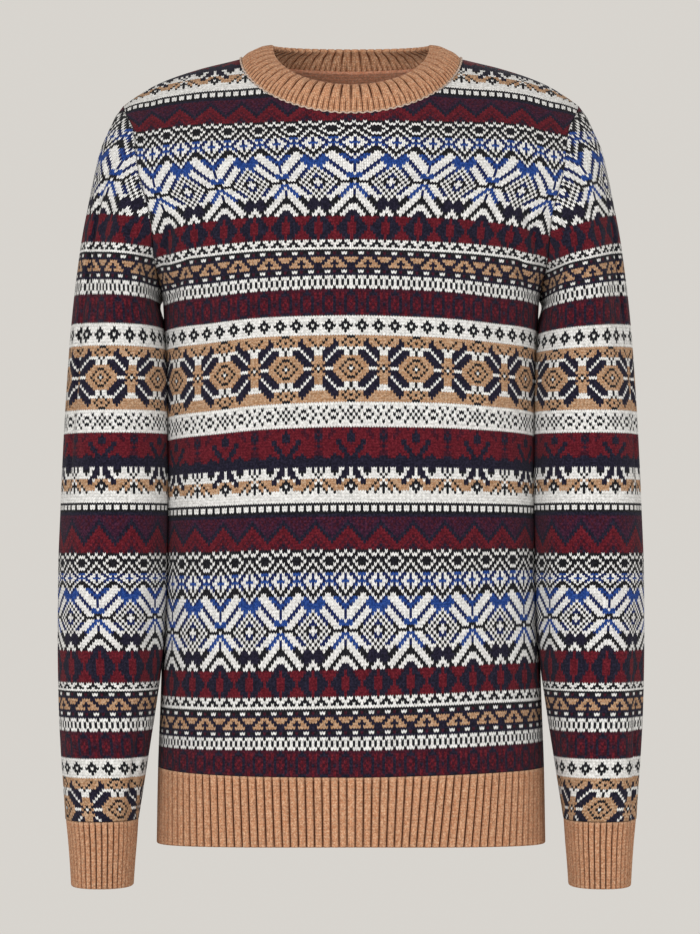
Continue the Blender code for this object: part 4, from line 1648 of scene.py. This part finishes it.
def add_node(
    tree: bpy.types.NodeTree, kind: str, settings: dict[str, object], values: dict[str | int, object]
) -> bpy.types.Node:
    """Adds a node to a material.

    Args:
        tree: The material's nodes.
        kind: The node's type.
        settings: Its settings, with a ramp's stops under "stops" as places and colours.
        values: Its inputs by name or number: a wire, a socket, a number or a colour.

    Returns:
        The node.
    """
    node = tree.nodes.new(kind)
    for key, value in settings.items():
        if key == "stops":
            ramp = node.color_ramp
            ramp.interpolation = "CONSTANT"
            for index, (place, colour) in enumerate(value):
                stop = ramp.elements[index] if index < 2 else ramp.elements.new(place)
                stop.position, stop.color = place, (*colour, 1.0)
        else:
            setattr(node, key, value)
    for key, value in values.items():
        socket = node.inputs[key]
        if isinstance(value, Wire):
            tree.links.new(value.socket, socket)
        elif isinstance(value, bpy.types.NodeSocket):
            tree.links.new(value, socket)
        else:
            socket.default_value = value
    return node


@dataclass(frozen=True)
class Wool:
    """What the two knits share: a matt woollen surface, its heather and its stitches."""

    roughness: float = 0.92
    specular: float = 0.08
    sheen: float = 0.03
    sheen_roughness: float = 0.55
    heather_scale: float = 620.0
    shade_scale: float = 430.0
    hollow: float = 0.60  # share of the light lost between the legs
    mottle: float = 1.1
    fleck_contrast: float = 4.0
    bump_strength: float = 0.75
    bump_distance: float = 0.0007

    def start(self, name: str) -> tuple[bpy.types.Material, bpy.types.NodeTree, bpy.types.Node]:
        """A new material with its shader's constants set.

        Args:
            name: The material's name.

        Returns:
            The material, its nodes and its shader.
        """
        material = bpy.data.materials.new(name)
        material.use_nodes = True
        tree = material.node_tree
        shader = tree.nodes["Principled BSDF"]
        shader.inputs["Roughness"].default_value = self.roughness
        shader.inputs["Specular IOR Level"].default_value = self.specular
        shader.inputs["Sheen Weight"].default_value = self.sheen
        shader.inputs["Sheen Roughness"].default_value = self.sheen_roughness
        return material, tree, shader

    def noise(self, tree: bpy.types.NodeTree, scale: float, detail: float) -> Wire:
        """Makes even noise over the piece.

        Args:
            tree: The material's nodes.
            scale: How fine the noise is.
            detail: How many finer layers it has.

        Returns:
            The noise, about a half.
        """
        place = add_node(tree, "ShaderNodeTexCoord", {}, {})
        values = {"Vector": place.outputs["Object"], "Scale": scale, "Detail": detail}
        node = add_node(tree, "ShaderNodeTexNoise", {}, values)
        return Wire(tree, node.outputs[0])

    def stitches(self, tree: bpy.types.NodeTree) -> tuple[Wire, Wire]:
        """Reads the piece's own map.

        Args:
            tree: The material's nodes.

        Returns:
            Places across and up, in stitches.
        """
        place = add_node(tree, "ShaderNodeUVMap", {"uv_map": STITCH_MAP}, {})
        parts = add_node(tree, "ShaderNodeSeparateXYZ", {}, {0: place.outputs[0]})
        return Wire(tree, parts.outputs[0]), Wire(tree, parts.outputs[1])

    def legs(self, across: Wire, up: Wire, lean: float) -> tuple[Wire, Wire]:
        """The V of each stitch.

        Args:
            across: Place across, in stitches.
            up: Place up, in rows.
            lean: How far up the V's arms rise, in rows.

        Returns:
            Place up within the stitch's own V, below 0 and over 1 in its neighbours', and the relief.
        """
        spread = (across.fraction() * 2.0 - 1.0).size()
        place = up.fraction() - (spread - 0.5) * lean
        off_leg = (spread - 0.5) * 2.0
        own = place.fraction() * 2.0 - 1.0
        square = own * own
        relief = (1.0 - off_leg * off_leg) * (1.0 - square * square * 0.6)
        return place, relief

    def shade(self, tree: bpy.types.NodeTree, colour: Wire, relief: Wire, noise: Wire) -> Wire:
        """Darkens a colour with painted shade between the stitches' legs, and at random here and there.

        Args:
            tree: The material's nodes.
            colour: The yarn's colour.
            relief: Height of the stitch.
            noise: Even noise.

        Returns:
            The shaded colour.
        """
        light = (relief * self.hollow + (1.0 - self.hollow)) * ((noise - 0.5) * self.mottle + 1.0)
        node = add_node(tree, "ShaderNodeVectorMath", {"operation": "SCALE"}, {0: colour, 3: light.held()})
        return Wire(tree, node.outputs[0])

    def flecks(self, heather: Wire, share: float) -> Wire:
        """How much of the fleck colour shows in the heather."""
        return ((heather - 0.5) * self.fleck_contrast + share).held()

    def mix(self, tree: bpy.types.NodeTree, factor: Wire, first: Wire | tuple, second: Wire | tuple) -> Wire:
        """Lays one colour over another.

        Args:
            tree: The material's nodes.
            factor: How much of the second shows.
            first: The colour under it.
            second: The colour over it.

        Returns:
            The mixed colour.
        """
        settings = {"data_type": "RGBA", "blend_type": "MIX"}
        node = add_node(tree, "ShaderNodeMix", settings, {0: factor, 6: first, 7: second})
        return Wire(tree, node.outputs[2])

    def bump(self, tree: bpy.types.NodeTree, shader: bpy.types.Node, height: Wire) -> None:
        """Raises the surface by a height."""
        values = {"Height": height, "Strength": self.bump_strength, "Distance": self.bump_distance}
        node = add_node(tree, "ShaderNodeBump", {}, values)
        tree.links.new(node.outputs[0], shader.inputs["Normal"])


@dataclass(frozen=True)
class PatternKnit(Wool):
    """Stranded knit: each stitch in its own yarn, its V pushed into the row above."""

    lean: float = 0.62
    fleck_share: float = 0.38

    def material(self) -> bpy.types.Material:
        """Makes the finish."""
        material, tree, shader = self.start("stranded_wool")
        across, up = self.stitches(tree)
        place, relief = self.legs(across, up, self.lean)
        below, own, above = (
            Wire(tree, add_node(tree, "ShaderNodeAttribute", {"attribute_name": name}, {}).outputs[2])
            for name in ("yarn_below", "yarn", "yarn_above")
        )
        code = own + (0.0 - place).above(0.0) * (below - own) + place.above(1.0) * (above - own)
        share = (code + 0.5) * (1.0 / len(Yarn))
        ramps = []
        for index in (0, 1):
            stops = [(yarn.code / len(Yarn), yarn.value[index]) for yarn in Yarn]
            node = add_node(tree, "ShaderNodeValToRGB", {"stops": stops}, {0: share})
            ramps.append(Wire(tree, node.outputs[0]))
        heather = self.noise(tree, self.heather_scale, 3.0)
        colour = self.mix(tree, self.flecks(heather, self.fleck_share), *ramps)
        colour = self.shade(tree, colour, relief, self.noise(tree, self.shade_scale, 2.0))
        tree.links.new(colour.socket, shader.inputs["Base Color"])
        self.bump(tree, shader, relief + heather * 0.25)
        return material


@dataclass(frozen=True)
class CamelRib(Wool):
    """Plain camel rib, with painted shade darkening it down in its grooves."""

    camel: Triple = (0.530, 0.245, 0.128)
    pale: Triple = (0.740, 0.460, 0.290)
    # painted shade: the dark brown mixed into the grooves, where the rib's own shade falls
    groove: Triple = (0.110, 0.030, 0.010)
    first_row: float = 0.45  # how much paler the row at the seam is
    lean: float = 0.60
    fleck_share: float = 0.30

    def material(self, name: str = "camel_wool") -> bpy.types.Material:
        """Makes the finish."""
        material, tree, shader = self.start(name)
        across, up = self.stitches(tree)
        _, relief = self.legs(across, up, self.lean)
        heather = self.noise(tree, self.heather_scale * 1.2, 3.0)
        flecks = self.flecks(heather, self.fleck_share)
        colour = self.mix(tree, flecks, (*self.camel, 1.0), (*self.pale, 1.0))
        depth = add_node(tree, "ShaderNodeAttribute", {"attribute_name": "groove"}, {}).outputs[2]
        deep = Wire(tree, depth)
        # Painted shade: the groove colour is laid on by how deep in a groove or slit each point lies
        colour = self.mix(tree, (deep * 1.15).held(), colour, (*self.groove, 1.0))
        seam_row = (1.2 - up).held() * self.first_row
        colour = self.mix(tree, seam_row, colour, (*self.pale, 1.0))
        colour = self.shade(tree, colour, relief, self.noise(tree, self.shade_scale, 2.0))
        tree.links.new(colour.socket, shader.inputs["Base Color"])
        self.bump(tree, shader, relief * 0.7 + heather * 0.4)
        return material


@dataclass
class Studio:
    """The floor, the lights and the camera."""

    backdrop: Triple = (0.686, 0.660, 0.620)
    floor_tone: Triple = (0.400, 0.385, 0.362)
    floor_z: float = -1.55
    floor_radius: float = 3.0
    fade_from: float = 0.7  # distance from the middle where the floor starts to fade
    eye: Triple = (-0.0009, -2.6, -0.430)
    aim: Triple = (-0.0009, 0.0, -0.3570)
    lens: float = 113.9
    lamp_aim: Triple = (0.0, 0.0, -0.36)
    lamps: tuple[tuple[str, Triple, float, float], ...] = (
        # name, place, side, watts
        ("key", (-1.7, -2.9, 0.0), 1.6, 68.0),
        ("fill", (1.8, -2.8, -0.6), 1.8, 52.0),
        ("back", (0.6, 2.8, 1.2), 1.8, 60.0),
    )

    def floor(self) -> None:
        """Lays a plain pale floor."""
        deselect()
        bpy.ops.mesh.primitive_circle_add(
            vertices=96, radius=self.floor_radius, fill_type="NGON", location=(0, 0, self.floor_z)
        )
        floor = bpy.context.object
        floor.name = floor.data.name = "floor"
        material = bpy.data.materials.new("floor")
        material.use_nodes = True
        tree = material.node_tree
        shader = tree.nodes["Principled BSDF"]
        shader.inputs["Base Color"].default_value = (*self.floor_tone, 1.0)
        shader.inputs["Roughness"].default_value = 1.0
        shader.inputs["Specular IOR Level"].default_value = 0.0
        place = add_node(tree, "ShaderNodeTexCoord", {}, {})
        away = add_node(tree, "ShaderNodeVectorMath", {"operation": "LENGTH"}, {0: place.outputs["Object"]})
        room = self.floor_radius - Wire(tree, away.outputs["Value"])
        room = (room * (1 / (self.floor_radius - self.fade_from))).held()
        tree.links.new((room * room * (3.0 - room * 2.0)).socket, shader.inputs["Alpha"])
        floor.data.materials.append(material)

    def sky(self) -> None:
        """Lights the room evenly all round."""
        world = bpy.data.worlds.new("studio")
        bpy.context.scene.world = world
        world.use_nodes = True
        background = world.node_tree.nodes["Background"]
        background.inputs["Color"].default_value = (*self.backdrop, 1.0)
        background.inputs["Strength"].default_value = 1.0

    def lamp(self, name: str, place: Triple, size: float, power: float) -> None:
        """Adds a soft lamp that faces the jumper.

        Args:
            name: The lamp's name.
            place: Where it stands.
            size: Its side.
            power: Its power in watts.
        """
        data = bpy.data.lights.new(name, "AREA")
        data.size, data.energy = size, power
        lamp = bpy.data.objects.new(name, data)
        bpy.context.scene.collection.objects.link(lamp)
        lamp.location = place
        lamp.rotation_euler = look_at(place, self.lamp_aim)

    def build(self) -> None:
        """Sets up the whole studio."""
        self.floor()
        self.sky()
        for lamp in self.lamps:
            self.lamp(*lamp)
        data = bpy.data.cameras.new("camera")
        data.lens, data.sensor_width = self.lens, 36.0
        camera = bpy.data.objects.new("camera", data)
        bpy.context.scene.collection.objects.link(camera)
        camera.location = self.eye
        camera.rotation_euler = look_at(self.eye, self.aim)
        bpy.context.scene.camera = camera
        bpy.context.scene.view_settings.view_transform = "Standard"


def look_at(place: Triple, aim: Triple) -> Triple:
    """Turns something towards a point, level from side to side.

    Args:
        place: Where it stands.
        aim: The point.

    Returns:
        Its turns about X, Y and Z.
    """
    x, y, z = (b - a for a, b in zip(place, aim))
    return math.atan2(math.hypot(x, y), -z), 0.0, math.atan2(-x, y)


def half_area(piece: bpy.types.Object) -> float:
    """The area of one side of a finished sheet."""
    return sum(face.area for face in piece.data.polygons) / 2


def dress(piece: bpy.types.Object, material: bpy.types.Material) -> None:
    """Gives a piece its finish and reports it.

    Args:
        piece: The finished piece.
        material: Its finish.
    """
    piece.data.materials.clear()
    piece.data.materials.append(material)
    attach(piece, BODY)
    triangles = sum(len(face.vertices) - 2 for face in piece.data.polygons)
    LOG.info("%s: %d triangles, one side %.4f m2", piece.name, triangles, half_area(piece))


def main() -> None:
    """Builds the jumper round its frame."""
    logging.basicConfig(level=logging.INFO, format="%(name)s: %(message)s")
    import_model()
    knit, rib = PatternKnit().material(), CamelRib().material()
    body = BodyForm()

    for side in Side:
        panel = Panel(side, body)
        piece = panel.build()
        dress(piece, knit)
        hem = HemRib(panel)
        piece = hem.build()
        dress(piece, rib)

    for arm, star_column, slope_share, outward in SLEEVES:
        form = SleeveForm(arm, body)
        sleeve = Sleeve(form, star_column, slope_share=slope_share, outward=outward)
        piece = sleeve.build()
        dress(piece, knit)
        cuff = Cuff(form)
        piece = cuff.build()
        dress(piece, rib)

    neckband = Neckband(NeckForm(body))
    band = neckband.build()
    dress(band, rib)
    chain = neckband.chain()
    linking = CamelRib(camel=(0.86, 0.62, 0.48), pale=(0.96, 0.80, 0.70))
    dress(chain, linking.material("linking"))
    facing = neckband.facing()
    # Painted light: the facing is the same camel yarn, given lighter, redder colours than the rib so that it
    # does not fall dark in the shade inside the neck
    painted_light_facing = CamelRib(camel=(0.90, 0.36, 0.20), pale=(0.98, 0.55, 0.38))
    dress(facing, painted_light_facing.material("facing"))

    Studio().build()


if __name__ == "__main__":
    main()
